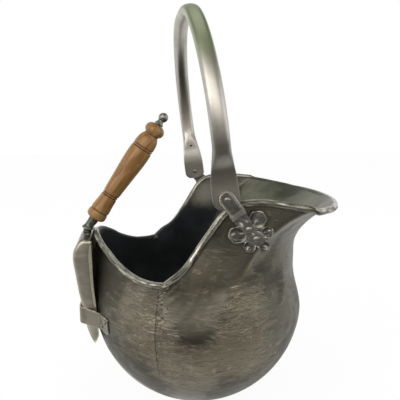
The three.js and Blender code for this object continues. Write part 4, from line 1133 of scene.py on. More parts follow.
def lug_band(shape, side):
    """The strap from its ear down over the roll to the plate under the leaves."""
    # Distance along the strap, and half its width: round end, sides, shoulder, plate.
    end_round = [(0.97, 2.0), (0.9, 3.58), (0.78, 5.13), (0.6, 6.56), (0.35, 7.68)]
    half = LUG_WIDTH / 2
    start, end = SHOULDER_START, SHOULDER_END
    stations = [(-EAR_RADIUS + 0.02, 0.8)]
    stations += [(-EAR_RADIUS * share, wide) for share, wide in end_round]
    stations += [(0, EAR_RADIUS), (3, 8.05), (6, half), (start - 0.6, half)]
    stations += [(along, half + 0.5) for along in (start, start + 3, start + 8, end)]
    stations += [(end + 0.6, half), (34, half - 0.5)]
    stations += [(LUG_RIVET_AT[0], half - 2), (LUG_RIVET_AT[1], half - 3)]
    x_end, z_end = lug_xz(end, 0)
    landing = cheek_at(x_end, z_end - CENTRE_HEIGHT) + GAP
    rings, rubbed = [], []
    for along, half in stations:
        x, z = lug_xz(along, 0)
        if along < start:
            inner, thick = EAR_INNER, EAR_THICKNESS
        elif along <= end:
            inner = mix(EAR_INNER, landing, (along - start) / (end - start))
            thick = SHOULDER_THICKNESS
        else:
            inner, thick = cheek_at(x, z - CENTRE_HEIGHT) + GAP, LUG_PLATE
        left = [(-half, 0), (-half, thick - 0.5), (-half + 0.5, thick), (-half * 0.5, thick)]
        right = [(-across, height) for across, height in reversed(left)]
        ring = []
        for across, height in [*left, (0, thick), *right, (0, 0)]:
            x, z = lug_xz(along, across)
            lean = CHEEK_SPREAD * (x - lug_xz(along, 0)[0]) if along >= end else 0
            ring.append((x, (inner + lean + height) * side, z))
        rings.append(ring)
        face = -0.3 if along < start else 0.05
        edge = np.array([0.2, 0.8, 0.9, face, face, face, 0.9, 0.8, 0.2, 0])
        rubbed.append(edge if along <= end else edge * 0.15)
    shoulder = [start <= along < end for along, _ in stations[:-1]]
    indices = [int(on) for on in shoulder for _ in range(10)] + [0] * 20
    shape.loft(rings, indices, np.array(rubbed))


def ear_rim(shape, side):
    """The raised rim along the edges and round the end of the ear."""
    reach, edge, start = EAR_RADIUS - 0.95, LUG_WIDTH / 2 - 0.9, SHOULDER_START - 1
    turns = np.radians(np.linspace(100, 260, 25))
    path = [(start, edge, 0, 1), (start * 0.5, edge, 0, 1)]
    path += [(reach * math.cos(t), reach * math.sin(t), math.cos(t), math.sin(t)) for t in turns]
    path += [(start * 0.5, -edge, 0, -1), (start, -edge, 0, -1)]
    rings = []
    for along, across, out_along, out_across in path:
        ring = []
        for s in full_turn(10):
            out, up = EAR_RIM * math.cos(s), EAR_RIM * math.sin(s) - 0.1
            x, z = lug_xz(along + out_along * out, across + out_across * out)
            ring.append((x, (EAR_INNER + EAR_THICKNESS + up) * side, z))
        rings.append(ring)
    shape.loft(rings, 0, 0.8)


def small_leaf(shape, along, across, reach, width, side):
    """A narrow ridged leaf between the large ones."""
    shares = np.linspace(0, 1, 9)
    wide = width * np.sin(math.pi * (0.12 + 0.88 * shares)) ** 0.8 + 0.05
    section = np.array([-1, -0.5, 0, 0.5, 1])
    rings = []
    for t, w in zip(shares, wide):
        at = along - reach / 2 + reach * t
        ring = on_cheek([at] * 5, across + w * section, [2.3, 2.9, 3.5, 2.9, 2.3])
        rings.append(ring * (1, side, 1))
    shape.loft(rings, 0, 0.75)


def lug_piece(name, side):
    """A whole lug: strap, leaves, petals, rivet boss and the rim of its ear."""
    shape = Shape()
    lug_band(shape, side)
    for places, leaf, foot in zip((LEAVES, PETALS), (LEAF, PETAL), LEAF_FEET):
        for along, across in places:
            heading = math.atan2(across, along - foot)
            leaf_blade(shape, (along, across), heading, side, **leaf)
    turn = full_turn(40)
    middle = LUG_RIVET_AT[1]
    rings = [on_cheek(middle + r * np.cos(turn), r * np.sin(turn), h) * (1, side, 1) for h, r in BOSS]
    shape.loft(rings, 0, 0.1)
    for leaf in SMALL_LEAVES:
        small_leaf(shape, *leaf, side)
    ear_rim(shape, side)
    return shape.piece(name, finishes("lug_steel", "shoulder_steel"), 50)


# ---- bail -----------------------------------------------------------------------------

def bail_path():
    """The middle line of the bail, from one tip over the arch to the other."""
    lean = math.radians(BAIL_LEAN)
    up = np.array([-math.sin(lean), 0, math.cos(lean)])
    pivot = np.array([PIVOT_X, 0, PIVOT_HEIGHT])
    angle = math.pi * np.linspace(0, 1, 121)
    side = -np.sign(np.cos(angle)) * np.abs(np.cos(angle)) ** (2 / BAIL_POWER)
    level = np.maximum(np.sin(angle), 0) ** (2 / BAIL_POWER)
    half = BAIL_HALF_SPAN + BAIL_BULGE * np.sin(math.pi * level) * smooth(*BAIL_BOW, level)
    arch = pivot + np.outer(BAIL_RISE * level, up) + np.outer(half * side, (0, 1, 0))
    tips = [pivot - up * BAIL_END_BELOW + np.array([0, s * BAIL_HALF_SPAN, 0]) for s in (-1, 1)]
    return soft_path([tips[0], *arch, tips[1]], 1200)


def bail_piece():
    """The bent tube with its flattened, rounded ends and the vent hole."""
    path = bail_path()
    length = steps(path).sum()
    lean = math.radians(BAIL_LEAN)
    across = np.array([math.cos(lean), 0, math.sin(lean)])
    ends = [0, 0.5, 1.2, 2, 3.2, 5, 7, BAIL_END_CORNER, 12]
    stops = [*ends, *np.linspace(15, 90, 46), *np.linspace(94, length / 2, 44)]
    stops = stops + [length - s for s in reversed(stops[:-1])]
    turn = np.linspace(0, 2 * math.pi, 361)
    c, s = np.cos(turn), np.sin(turn)
    rings, wear, sides = [], [], 60
    for distance in stops:
        from_tip = min(distance, length - distance)
        # The lower legs are darkened through the recess: painted shade for the dark surroundings that
        # they reflect.
        wear.append(-0.36 * float(smooth(BAIL_FLAT_LENGTH * 2.3, BAIL_FLAT_LENGTH * 1.4, from_tip)))
        centre, ahead = along_path(path, distance / length)
        normal = unit(np.cross(ahead, across))
        corner = max(0, BAIL_END_CORNER - from_tip)
        rounding = BAIL_END_CORNER - math.sqrt(BAIL_END_CORNER ** 2 - corner ** 2)
        width = mix(BAIL_END_WIDTH, BAIL_WIDTH, float(smooth(*BAIL_SPREAD, from_tip)))
        swell = float(smooth(BAIL_FLAT_LENGTH, BAIL_FLAT_LENGTH * 1.6, from_tip))
        depth = mix(BAIL_END_THICKNESS, BAIL_THICKNESS, swell) / 2
        power = 2 / mix(*BAIL_SQUARENESS, swell)
        wide = np.sign(c) * np.abs(c) ** power * (width / 2 - rounding)
        deep = np.sign(s) * np.abs(s) ** power * depth
        outline = even(np.stack([wide, deep], axis=1), sides + 1)[:-1]
        rings.append(centre + np.outer(outline[:, 0], across) + np.outer(outline[:, 1], normal))
    shape = Shape()
    shape.loft(rings, 0, np.repeat(np.array(wear)[:, None], sides, axis=1))
    piece = shape.piece("bail", finishes("bail_steel"), 45)
    spot, _ = along_path(path, 1 - VENT_FROM_TIP / length)
    drill = Shape()
    drill.loft(turned_points([(-9, VENT_RADIUS), (1, VENT_RADIUS)], 24, spot, (0, 1, 0)))
    tool = drill.piece("vent_drill", finishes("vent_dark"))
    cutter = piece.modifiers.new("Vent", "BOOLEAN")
    cutter.object = tool
    cutter.operation = "DIFFERENCE"
    cutter.solver = "EXACT"
    cutter.material_mode = "TRANSFER"
    keep_result(piece)
    bpy.data.objects.remove(tool)
    return piece


# ---- strap and shovel -----------------------------------------------------------------

def strap_piece():
    """The bent strap: a web behind the shovel and an ear on the wall at each side."""
    back = STRAP_BACK_X + STRAP_THICKNESS
    half = STRAP_HALF_WIDTH - STRAP_THICKNESS
    ear_x = -BOWL_RADIUS * math.cos(math.radians(STRAP_EAR_START))
    edges = np.linspace(-STRAP_HEIGHT / 2, STRAP_HEIGHT / 2, 13)
    web = [(back, 0), (back, half * 0.5), (back, half - 5), (back + 1.5, half - 1.5),
           (back + 5, half), (back + 12, half + 4.3)]
    web = soft_path(web, 30)
    rows = []
    for x, y in web:
        drop = STRAP_EAR_DROP * (x - back) / (ear_x - back)
        rows.append([(x, y, CENTRE_HEIGHT + STRAP_RISE - drop + e) for e in edges])
    for t in np.linspace(0, 1, 18):
        degrees = 180 - mix(STRAP_EAR_START, STRAP_EAR_REACH, t)
        # The ear's last corners are clipped.
        trim = 2.0 * max(0, (t - 0.86) / 0.14) ** 2
        reach = STRAP_HEIGHT / 2 - trim
        rise = STRAP_RISE - STRAP_EAR_DROP + np.clip(edges, -reach, reach)
        rows.append(wall_point(degrees, rise, -GAP).tolist())
    left = np.array(rows)
    right = left[1:][::-1] * (1, -1, 1)
    grid = np.concatenate([right, left])
    normal = grid_normals(grid)
    middle = len(grid) // 2
    if normal[middle, 6, 0] > 0:
        normal = -normal
    outside = grid + normal * STRAP_THICKNESS
    wear = np.zeros(grid.shape[:2])
    wear[:, (0, -1)] = 0.9
    wear[(0, -1), :] = 0.9
    shape = Shape()
    sheet_shape(shape, grid, outside, 0, 0, 0, wear)
    piece = shape.piece("strap", finishes("strap_steel"), 50)
    bevel = piece.modifiers.new("Edge", "BEVEL")
    bevel.width = 0.35 * MM
    bevel.segments = 2
    bevel.limit_method = "ANGLE"
    bevel.angle_limit = math.radians(50)
    keep_result(piece)
    return piece


def scoop_piece():
    """The folded tray, from its heel to its tip."""
    deep = soft_path([(x, 0, rise + CENTRE_HEIGHT) for x, rise in SCOOP_BACK], 90)
    edge = soft_path([(x, 0, rise + CENTRE_HEIGHT) for x, rise in SCOOP_EDGE], 400)
    half, corner = SCOOP_HALF_WIDTH, SCOOP_CORNER
    rows, rubbed = [], []
    for i, spot in enumerate(deep):
        free = point_at(edge, (i / (len(deep) - 1)) ** 1.25)
        toward = unit(free - spot)
        walls = [mix(free, spot + toward * corner, share) for share, _ in SCOOP_WALL]
        left = [(p[0], half, p[2]) for p in walls]
        for turn in np.radians((30, 60, 90)):
            bend = spot + toward * corner * (1 - math.sin(turn))
            left.append((bend[0], half - corner * (1 - math.cos(turn)), bend[2]))
        left += [(spot[0], y, spot[2]) for y in (half * 0.7, half * 0.35)]
        right = [(x, -y, z) for x, y, z in reversed(left)]
        rows.append([*left, (spot[0], 0, spot[2]), *right])
        worn = [w for _, w in SCOOP_WALL] + [0] * (len(left) - len(SCOOP_WALL))
        rubbed.append([*worn, 0, *reversed(worn)])
    grid = np.array(rows)
    normal = grid_normals(grid)
    if normal[60, grid.shape[1] // 2, 0] > 0:
        normal = -normal
    wear = np.array(rubbed)
    wear[:2] = 0.7
    wear[-2:] = 0.8
    shape = Shape()
    # The heel, between the two folds, is as dark as the neck: partly painted shade on the heel.
    i, j = np.indices((grid.shape[0] - 1, grid.shape[1] - 1))
    heel = (i < 8) & (j >= 8) & (j < grid.shape[1] - 9)
    sheet_shape(shape, grid, grid + normal * SCOOP_THICKNESS, 0, heel.astype(int).ravel(), 0, wear)
    return shape.piece("scoop", finishes("scoop_steel", "neck_steel"), 50)


def heel_up():
    """The direction square to the heel of the scoop."""
    (x0, z0), (x1, z1) = SCOOP_BACK[:2]
    return unit(np.array([z1 - z0, 0, x0 - x1]))


def heel_at(x):
    """The point on the heel's middle line at x."""
    (x0, z0), (x1, z1) = SCOOP_BACK[:2]
    return np.array([x, 0, mix(z0, z1, (x - x0) / (x1 - x0)) + CENTRE_HEIGHT])


GRIP_UP = np.array([math.sin(GRIP_LEAN), 0, math.cos(GRIP_LEAN)])


def neck_piece():
    """Foot, waisted neck with its collar ring, and the rod under the grip."""
    up = heel_up()
    base = heel_at(NECK_X) + up * GAP
    foot = np.array(GRIP_FOOT, float)
    a, b, c, d = base, base + up * NECK_HANDLES[0], foot - GRIP_UP * NECK_HANDLES[1], foot
    t = np.linspace(0, 1, 80)[:, None]
    path = a * (1 - t) ** 3 + 3 * b * t * (1 - t) ** 2 + 3 * c * t * t * (1 - t) + d * t ** 3
    length = steps(path).sum()
    sections = [*NECK_SECTIONS, (length - 1.4, 5.9, 5.9, 0), (length - 0.5, 6, 6, 0)]
    turn = full_turn(40)

    def section(centre, ahead, deep, wide):
        side = unit(np.cross((0, 1, 0), ahead))
        return centre + np.outer(deep * np.cos(turn), side) + np.outer(wide * np.sin(turn), (0, 1, 0))

    rings = []
    for distance, deep, wide, back in sections:
        centre, ahead = along_path(path, min(distance / length, 1))
        rings.append(section(centre - (back, 0, 0), ahead, deep, wide))
    for distance in (-0.4, GRIP_LENGTH + 6):
        rings.append(section(foot + GRIP_UP * distance, GRIP_UP, ROD_RADIUS, ROD_RADIUS))
    wear = np.zeros((len(rings), len(turn)))
    wear[9:12] = 0.7
    wear[3] = 0.6
    shape = Shape()
    shape.loft(rings, 0, wear)
    return shape.piece("shovel_neck", finishes("neck_steel"), 40)


def grip_piece():
    """The turned grip with its fine grooves and a bore right through it."""
    knots = np.array(GRIP_PROFILE, float)
    heights = np.unique(np.concatenate([np.linspace(0, GRIP_LENGTH, 260), knots[:, 0]]))
    radii = mix(np.interp(heights, *knots.T), follow(knots, heights), 0.8)
    for groove in GRIP_GROOVES:
        radii = radii - GROOVE_DEPTH * np.exp(-((heights - groove) / GROOVE_WIDTH) ** 2)
    profile = [*zip(heights, radii), (GRIP_LENGTH, GRIP_BORE), (0, GRIP_BORE)]
    # The wood is darker in the grooves and at both ends.
    dark = np.zeros((len(heights) + 2, GRIP_SIDES))
    near = np.abs(heights[:, None] - GRIP_GROOVES).min(1)
    ends = np.maximum(1 - heights / 3, 1 - (GRIP_LENGTH - heights) / 4).clip(0)
    dark[:-2] = np.maximum(0.9 * (1 - near / 0.9), 0.5 * ends).clip(0, 1)[:, None]
    shape = Shape()
    rings = turned_points(profile, GRIP_SIDES, GRIP_FOOT, GRIP_UP)
    shape.add(rings, ring_faces(len(rings), GRIP_SIDES), 0, dark)
    return shape.piece("grip", finishes("varnished_wood"), 60)


def ball_nut_piece():
    start = GRIP_LENGTH + GAP
    ball = [(BALL_FROM_FOOT - BALL_RADIUS * math.cos(a), BALL_RADIUS * math.sin(a))
            for a in np.linspace(math.radians(38), math.pi - 0.02, 20)]
    profile = [(start + above, radius) for above, radius in NUT_COLLAR] + ball
    shape = Shape()
    shape.loft(turned_points(profile, 48, GRIP_FOOT, GRIP_UP), 0, 0.15)
    return shape.piece("ball_nut", finishes("rivet_steel"), 40)


# ---- rivets and seams -----------------------------------------------------------------

def wall_depth(x, z):
    """How far the wall's outside face lies from the mid-plane, found by halving."""
    low, high = 60.0, 150.0
    for _ in range(24):
        y = (low + high) / 2
        inside = math.hypot(x, y) < wall_radius(math.degrees(math.atan2(y, x)), z - CENTRE_HEIGHT)
        low, high = (y, high) if inside else (low, y)
    return low


def scuttle_rivets():
    """Places of the rivets that stay with the body: point, direction, head radius, grip."""
    rows = []
    for side in (-1, 1):
        pivot = (PIVOT_X, side * (EAR_INNER + EAR_THICKNESS + GAP), PIVOT_HEIGHT)
        rows.append((pivot, (0, side, 0), *PIVOT_RIVET))
        for along in LUG_RIVET_AT:
            x, z = lug_xz(along, 0)
            outer = cheek_at(x, z - CENTRE_HEIGHT) + 2 * GAP + LUG_PLATE + LUG_RIVET_RISE
            inner = wall_depth(x, z) - WALL - GAP
            rows.append(((x, side * outer, z), (0, side, 0), LUG_RIVET_HEAD, outer - inner))
        for degrees, rise in STRAP_RIVETS:
            turn = math.radians(degrees)
            facing = np.array([-math.cos(turn), side * math.sin(turn), 0])
            radius = math.sqrt(BOWL_RADIUS ** 2 - rise ** 2) + 2 * GAP + STRAP_THICKNESS
            rows.append((facing * radius + (0, 0, rise + CENTRE_HEIGHT), facing, *STRAP_RIVET))
    return rows


def neck_rivets():
    up = heel_up()
    middle = heel_at(NECK_RIVET_X) + up * 2.2
    aside = NECK_RIVET_SPACING / 2
    return [(middle + (0, side * aside, 0), up, *NECK_RIVET) for side in (-1, 1)]


def rivet_piece(name, rows, dome):
    tree = bpy.data.node_groups.get("Rivet row") or rivet_tree()
    places, facings, heads, grips = zip(*rows)
    attributes = {"facing": facings, "head": np.array(heads) * MM, "grip": np.array(grips) * MM}
    return grown(name, places, attributes, tree, {"Dome": dome}, finish("rivet_steel"))


def seam_places(side):
    """Places for small blobs of solder on the lap of a side seam."""
    rng = np.random.default_rng(SEAM_SEEDS[side][0])
    places, facings, widths = [], [], []
    for rise in np.linspace(-48, 42, 46):
        point = wall_point(SEAM_ANGLE + rng.uniform(0.2, LAP_WIDTH - 0.6), rise, -0.25)
        places.append(point * (1, side, 1))
        facings.append(unit(point * (1, side, 0)))
        widths.append(rng.uniform(0.5, 1.2) * (1.5 if rise > 14 else 1))
    return places, facings, widths


def lap_shape(shape, side):
    """The soldered lap of a side seam: a thin uneven band with a step behind it, painted dark along
    its back edge as painted shadow.
    """
    rows, columns = 190, 15
    rise = np.linspace(-52.4, 45.5, rows)[:, None]
    share = np.linspace(0, 1, columns)[None, :]
    ragged = uneven(rows, 1, 34, 1, SEAM_SEEDS[side][1])
    degrees = SEAM_ANGLE - 0.5 + (LAP_WIDTH + 0.25 * ragged) * share
    lumps = uneven(rows, columns, 44, 4, SEAM_SEEDS[side][2])
    proud = (0.25 + 0.2 * lumps * (0.35 + 1.3 * smooth(0, 40, rise))) * smooth(0, 0.35, share) + 0.03
    proud = proud + 0.3 * smooth(0.8, 0.93, share)
    near = wall_point(degrees, rise, 0.5) * (1, side, 1)
    far = wall_point(degrees, rise, -proud) * (1, side, 1)
    wear = np.clip(lumps * 0.3 - 0.15, -0.3, 0.08) * smooth(0, 0.3, share)
    # Painted shadow along the step at the lap's back edge.
    wear[:, -1] = -1
    wear[:, -2] = -0.5
    sheet_shape(shape, near, far, 0, 0, 0, wear)


def solder_lump(shape, side):
    """A lump of solder that joins the two rolls at the top of a side seam."""
    turn = math.radians(SEAM_ANGLE)
    turns = full_turn(24)[:, None]
    edge = wall_point(SEAM_ANGLE, dict(FRONT_RIM)[SEAM_ANGLE], WALL)
    out = np.array([math.cos(turn), math.sin(turn), 0])
    along = np.array([-math.sin(turn), math.cos(turn), 0])
    centre = edge + out * 3.7 + np.array([0, 0, -0.6])
    rough = uneven(18, 25, 9, 12, SEAM_SEEDS[side][3])
    outward, lengthways, upward = LUMP_SIZE
    rings = []
    for i, lift in enumerate(np.linspace(-math.pi / 2 + 0.1, math.pi / 2 - 0.1, 18)):
        swell = (1 + 0.11 * rough[i, :24])[:, None]
        level = out * outward * np.cos(turns) + along * lengthways * np.sin(turns)
        ring = level * math.cos(lift) + (0, 0, upward * math.sin(lift))
        rings.append((centre + ring * swell) * (1, side, 1))
    shape.loft(rings, 1, np.clip(rough[:, :24], -0.3, 0.6))


def ring_mark(shape, centre, facing):
    """Most of a thin raised ring, as a bubble leaves it in solder."""
    axis = unit(facing)
    side = unit(np.cross(axis, (0.3, 0.2, 1)))
    other = np.cross(axis, side)
    rings = []
    for t in np.linspace(0, 2 * math.pi * MARK_SHARE, 30):
        out = math.cos(t) * side + math.sin(t) * other
        ring = []
        for s in full_turn(8):
            reach = MARK_RADIUS + MARK_THICKNESS * math.cos(s)
            ring.append(centre + out * reach + axis * MARK_THICKNESS * math.sin(s))
        rings.append(ring)
    shape.loft(rings, 0, 0.5)


def seam_piece(name, side):
    """The lap of a side seam, with a ring mark on it and a lump of solder on the rim."""
    shape = Shape()
    lap_shape(shape, side)
    mark = wall_point(SEAM_ANGLE - 0.6, 25, -0.1) * (1, side, 1)
    ring_mark(shape, mark, mark * (1, 1, 0))
    solder_lump(shape, side)
    return shape.piece(name, finishes("antiqued_outside", "solder"), 60)


def pan_piece():
    """The dished bottom: flat base, round side, and an edge lapped inside the sheets."""
    inner = BOWL_RADIUS - PAN_INSET - WALL

    def arc(radius, low, high, count):
        angles = np.linspace(low, high, count)
        return [(CENTRE_HEIGHT + radius * math.cos(a), radius * math.sin(a)) for a in angles]

    base = math.acos(-CENTRE_HEIGHT / BOWL_RADIUS) - 0.02
    top = math.acos((PAN_SEAM_HEIGHT - 0.25 - CENTRE_HEIGHT) / BOWL_RADIUS)
    profile = [*PAN_BASE, *arc(BOWL_RADIUS, base, top, 40)]
    for above in (0.05, PAN_LAP / 2, PAN_LAP):
        height = PAN_SEAM_HEIGHT + above
        radius = math.sqrt(BOWL_RADIUS ** 2 - (height - CENTRE_HEIGHT) ** 2)
        profile.append((height, radius - PAN_INSET))
    outer_rows = len(profile)
    start = math.acos((PAN_SEAM_HEIGHT + PAN_LAP - CENTRE_HEIGHT) / BOWL_RADIUS)
    profile += arc(inner, start, math.acos((WALL - CENTRE_HEIGHT) / inner), 40)
    profile.append((WALL, 0.02))
    shape = Shape()
    shape.loft(turned_points(profile, PAN_SIDES))
    first, last = (outer_rows - 2) * PAN_SIDES, (len(profile) - 1) * PAN_SIDES
    shape.indices[first:last] = [1] * (last - first)
    return shape.piece("bottom_bowl", finishes("antiqued_outside", "painted_inside"), 40)


def bead_piece():
    """The soldered bead along the joint between the pan and the sheets."""
    low = PAN_SEAM_HEIGHT - CENTRE_HEIGHT
    profile = []
    for above, proud in BEAD_SECTION:
        radius = math.sqrt(BOWL_RADIUS ** 2 - (low + above) ** 2) + proud
        profile.append((PAN_SEAM_HEIGHT + above, radius))
    shape = Shape()
    shape.add(turned_points(profile, BEAD_SIDES), ring_faces(len(profile), BEAD_SIDES))
    return shape.piece("pan_bead", finishes("antiqued_outside"), 60)


# ---- settings -------------------------------------------------------------------------

def colour_setting(name, description, default):
    return bpy.props.FloatVectorProperty(
        name=name, description=description, subtype="COLOR", size=3, min=0, max=1, default=default)


def power_setting(name, description, default):
    return bpy.props.FloatProperty(
        name=name, description=description + ", in watts", default=default, min=0, max=200)


class ScuttleSizes(bpy.types.PropertyGroup):
    """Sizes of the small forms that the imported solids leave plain."""

    roll_radius: bpy.props.FloatProperty(
        name="Rim roll", description="Outside radius of the rolled rim",
        default=3.6 * MM, min=0.001, max=0.006, unit="LENGTH")
    rivet_dome: bpy.props.FloatProperty(
        name="Rivet dome", description="Height of a rivet head as a share of its radius",
        default=0.5, min=0.1, max=1.0, subtype="FACTOR")
    solder_blob: bpy.props.FloatProperty(
        name="Solder", description="Radius of a blob of solder in the side seams",
        default=1.3 * MM, min=0.0002, max=0.004, unit="LENGTH")
    body_columns: bpy.props.IntProperty(
        name="Body columns", description="Columns of faces round the front sheet",
        default=340, min=60, max=480)


class ScuttleLooks(bpy.types.PropertyGroup):
    """Colours and light."""

    body_metal: colour_setting(
        "Body steel", "Antiqued steel of the body", (0.165, 0.155, 0.12))
    bright_metal: colour_setting(
        "Bail steel", "Brushed steel of the bail", (0.55, 0.52, 0.47))
    inside_paint: colour_setting(
        "Inside paint", "Black paint inside the bowl", (0.042, 0.048, 0.051))
    inside_bare: colour_setting(
        "Inside steel", "Bare steel inside the lip", (0.25, 0.25, 0.19))
    wood_light: colour_setting(
        "Light wood", "Light bands of the turned grip", (0.68, 0.375, 0.145))
    wood_mid: colour_setting(
        "Middle wood", "Middle tone of the turned grip", (0.48, 0.23, 0.074))
    wood_dark: colour_setting(
        "Dark grain", "Grain lines of the turned grip", (0.2, 0.08, 0.027))
    key_power: power_setting("Key light", "Power of the large light at the left", 6.0)
    fill_power: power_setting("Fill light", "Power of the light at the right", 2.2)
    top_power: power_setting("Top light", "Power of the light overhead", 2.0)
    sky: bpy.props.FloatProperty(
        name="Room light", description="Strength of the even light of the room",
        default=0.36, min=0, max=4)


# ---- operators ------------------------------------------------------------------------

def settle(piece, body, nodes):
    """Lets a finished piece ride on its body and stand for its solids."""
    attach(piece, body)
    if nodes:
        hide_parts(*nodes)


def nodes_like(*starts):
    """CAD nodes whose names begin with one of these."""
    names = [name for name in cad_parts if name.startswith(starts)]
    if not names:
        raise RuntimeError(f"the packed model has no node like {starts}")
    return names


class SCUTTLE_OT_stage(bpy.types.Operator):
    """Makes the floor, the lamps, the room light and the camera"""
    bl_idname = "scuttle.stage"
    bl_label = "Stage"

    def execute(self, context):
        looks = context.scene.scuttle_looks
        reach = FLOOR_REACH / MM
        corners = [(-reach, -reach, 0), (reach, -reach, 0), (reach, reach, 0), (-reach, reach, 0)]
        floor = make_piece("floor", corners, [(0, 1, 2, 3)], [floor_material()])
        context.scene.view_settings.view_transform = "Standard"
        make_room(context.scene, looks.sky)
        add_lamp("key_lamp", (-1.5, -1.2, 1.25), 0.9, 1.3, looks.key_power)
        add_lamp("fill_lamp", (1.7, -0.9, 0.9), 0.8, 1.2, looks.fill_power)
        add_lamp("top_lamp", (-0.1, 0.35, 1.7), 1.1, 1.1, looks.top_power)
        add_camera()
        return {"FINISHED"}


def add_lamp(name, place, width, height, power):
    """A plain rectangular lamp that faces the object."""
    lamp = bpy.data.lights.new(name, "AREA")
    lamp.shape = "RECTANGLE"
    lamp.size, lamp.size_y = width, height
    lamp.energy = power
    holder = bpy.data.objects.new(name, lamp)
    holder.location = place
    ahead = Vector(LAMP_TARGET) - Vector(place)
    holder.rotation_euler = ahead.to_track_quat("-Z", "Y").to_euler()
    bpy.context.scene.collection.objects.link(holder)


def add_camera():
    """The camera, fitted to the photograph."""
    camera = bpy.data.cameras.new("camera")
    camera.lens = LENS
    camera.sensor_width = 36
    camera.clip_start = 0.05
    camera.clip_end = 20
    holder = bpy.data.objects.new("camera", camera)
    back = Vector(CAMERA_BACK).normalized()
    across = Vector(CAMERA_RIGHT).normalized()
    up = back.cross(across).normalized()
    turn = Matrix((across, up, back)).transposed()
    holder.matrix_world = Matrix.Translation(Vector(CAMERA_PLACE)) @ turn.to_4x4()
    bpy.context.scene.collection.objects.link(holder)
    bpy.context.scene.camera = holder


def floor_material():
    """A white floor that keeps the shadow, and mirrors as grey behind the object."""
    material, tree, both = new_material("floor", "ShaderNodeMixShader")
    matt = take(tree, "ShaderNodeBsdfDiffuse", {"Color": (0.8, 0.8, 0.8)})
    white = take(tree, "ShaderNodeEmission", {"Color": (1, 1, 1), "Strength": 1.1})
    behind = spread(tree, split_xyz(tree, object_place(tree))["Y"], -0.34, -0.1)
    grey = blend(tree, behind, (0.15, 0.143, 0.125), (0.85, 0.85, 0.85))
    mirrored = take(tree, "ShaderNodeEmission", {"Color": grey, "Strength": 1.0})
    path = tree.nodes.new("ShaderNodeLightPath").outputs
    share = times(tree, path["Is Camera Ray"], 0.86)
    seen = take(tree, "ShaderNodeMixShader", {0: share, 1: matt, 2: white})
    for socket, value in enumerate((path["Is Glossy Ray"], seen, mirrored)):
        tree.links.new(value, both.inputs[socket])
    return material


def make_room(scene, strength):
    """Even room light, seen white by the camera, and darker towards the front in reflections."""
    world = bpy.data.worlds.new("room")
    world.use_nodes = True
    tree = world.node_tree
    tree.nodes.clear()
    path = tree.nodes.new("ShaderNodeLightPath").outputs
    split = split_xyz(tree, tree.nodes.new("ShaderNodeTexCoord").outputs["Generated"])
    front, high = times(tree, split["Y"], -1.0), split["Z"]
    low_front = times(tree, spread(tree, front, 0.25, 0.9), spread(tree, high, 0.3, 0.0))
    left_front = times_add(tree, split["X"], -0.32, times(tree, front, 0.95))
    panel = times(tree, spread(tree, left_front, 0.5, 0.82), spread(tree, high, 0.1, 0.36))
    panel = times(tree, panel, spread(tree, high, 0.9, 0.66))
    mirrored = blend(tree, spread(tree, high, 0.3, 0.7), (1, 1, 1), (0.22, 0.245, 0.19))
    mirrored = blend(tree, low_front, mirrored, (0.14, 0.13, 0.11))
    mirrored = blend(tree, panel, mirrored, (2.5, 2.43, 2.34))
    lights = []
    for colour, power in (((1, 1, 1), strength), (mirrored, 1.0), ((1, 1, 1), 1.0)):
        lights.append(take(tree, "ShaderNodeBackground", {"Color": colour, "Strength": power}))
    soft, glossy, white = lights
    shiny = sums(tree, "MAXIMUM", path["Is Glossy Ray"], path["Is Transmission Ray"])
    lit = take(tree, "ShaderNodeMixShader", {0: shiny, 1: soft, 2: glossy})
    seen = take(tree, "ShaderNodeMixShader", {0: path["Is Camera Ray"], 1: lit, 2: white})
    add_node(tree, "ShaderNodeOutputWorld", {"Surface": seen})
    scene.world = world


class SCUTTLE_OT_sheets(bpy.types.Operator):
    """Makes the front and back sheets of the body with their rolled rim"""
    bl_idname = "scuttle.sheets"
    bl_label = "Body sheets"

    def execute(self, context):
        sizes = context.scene.scuttle_sizes
        half = SEAM_ANGLE - SEAM_PLAY
        front = np.linspace(-half, half, sizes.body_columns)
        back = np.linspace(SEAM_ANGLE + SEAM_PLAY, 360 - SEAM_ANGLE - SEAM_PLAY,
                           int(sizes.body_columns * BACK_COLUMNS))
        roll = sizes.roll_radius / MM
        piece = sheet_piece("front_sheet", front, FRONT_RIM, roll)
        settle(piece, "scuttle", ["front_body", "rim_wire_front"])
        piece = sheet_piece("back_sheet", back, BACK_RIM, roll)
        settle(piece, "scuttle", ["back_body", "rim_wire_back"])
        return {"FINISHED"}


class SCUTTLE_OT_pan(bpy.types.Operator):
    """Makes the bottom pan with its flat base and lapped edge"""
    bl_idname = "scuttle.pan"
    bl_label = "Bottom pan"

    def execute(self, context):
        settle(pan_piece(), "scuttle", ["bottom_pan"])
        return {"FINISHED"}


class SCUTTLE_OT_seams(bpy.types.Operator):
    """Makes the soldered side seams, the lumps on the rim and the bead round the pan"""
    bl_idname = "scuttle.seams"
    bl_label = "Soldered seams"

    def execute(self, context):
        sizes = context.scene.scuttle_sizes
        tree = bpy.data.node_groups.get("Soldered seam") or solder_tree()
        for side, name in ((-1, "right"), (1, "left")):
            places, facings, widths = seam_places(side)
            values = {"Blob": sizes.solder_blob, "Flatness": 0.18}
            attributes = {"facing": facings, "width": widths}
            piece = grown(f"solder_{name}", places, attributes, tree, values, finish("solder"))
            settle(piece, "scuttle", [])
            settle(seam_piece(f"seam_{name}", side), "scuttle", [])
        settle(bead_piece(), "scuttle", [])
        return {"FINISHED"}


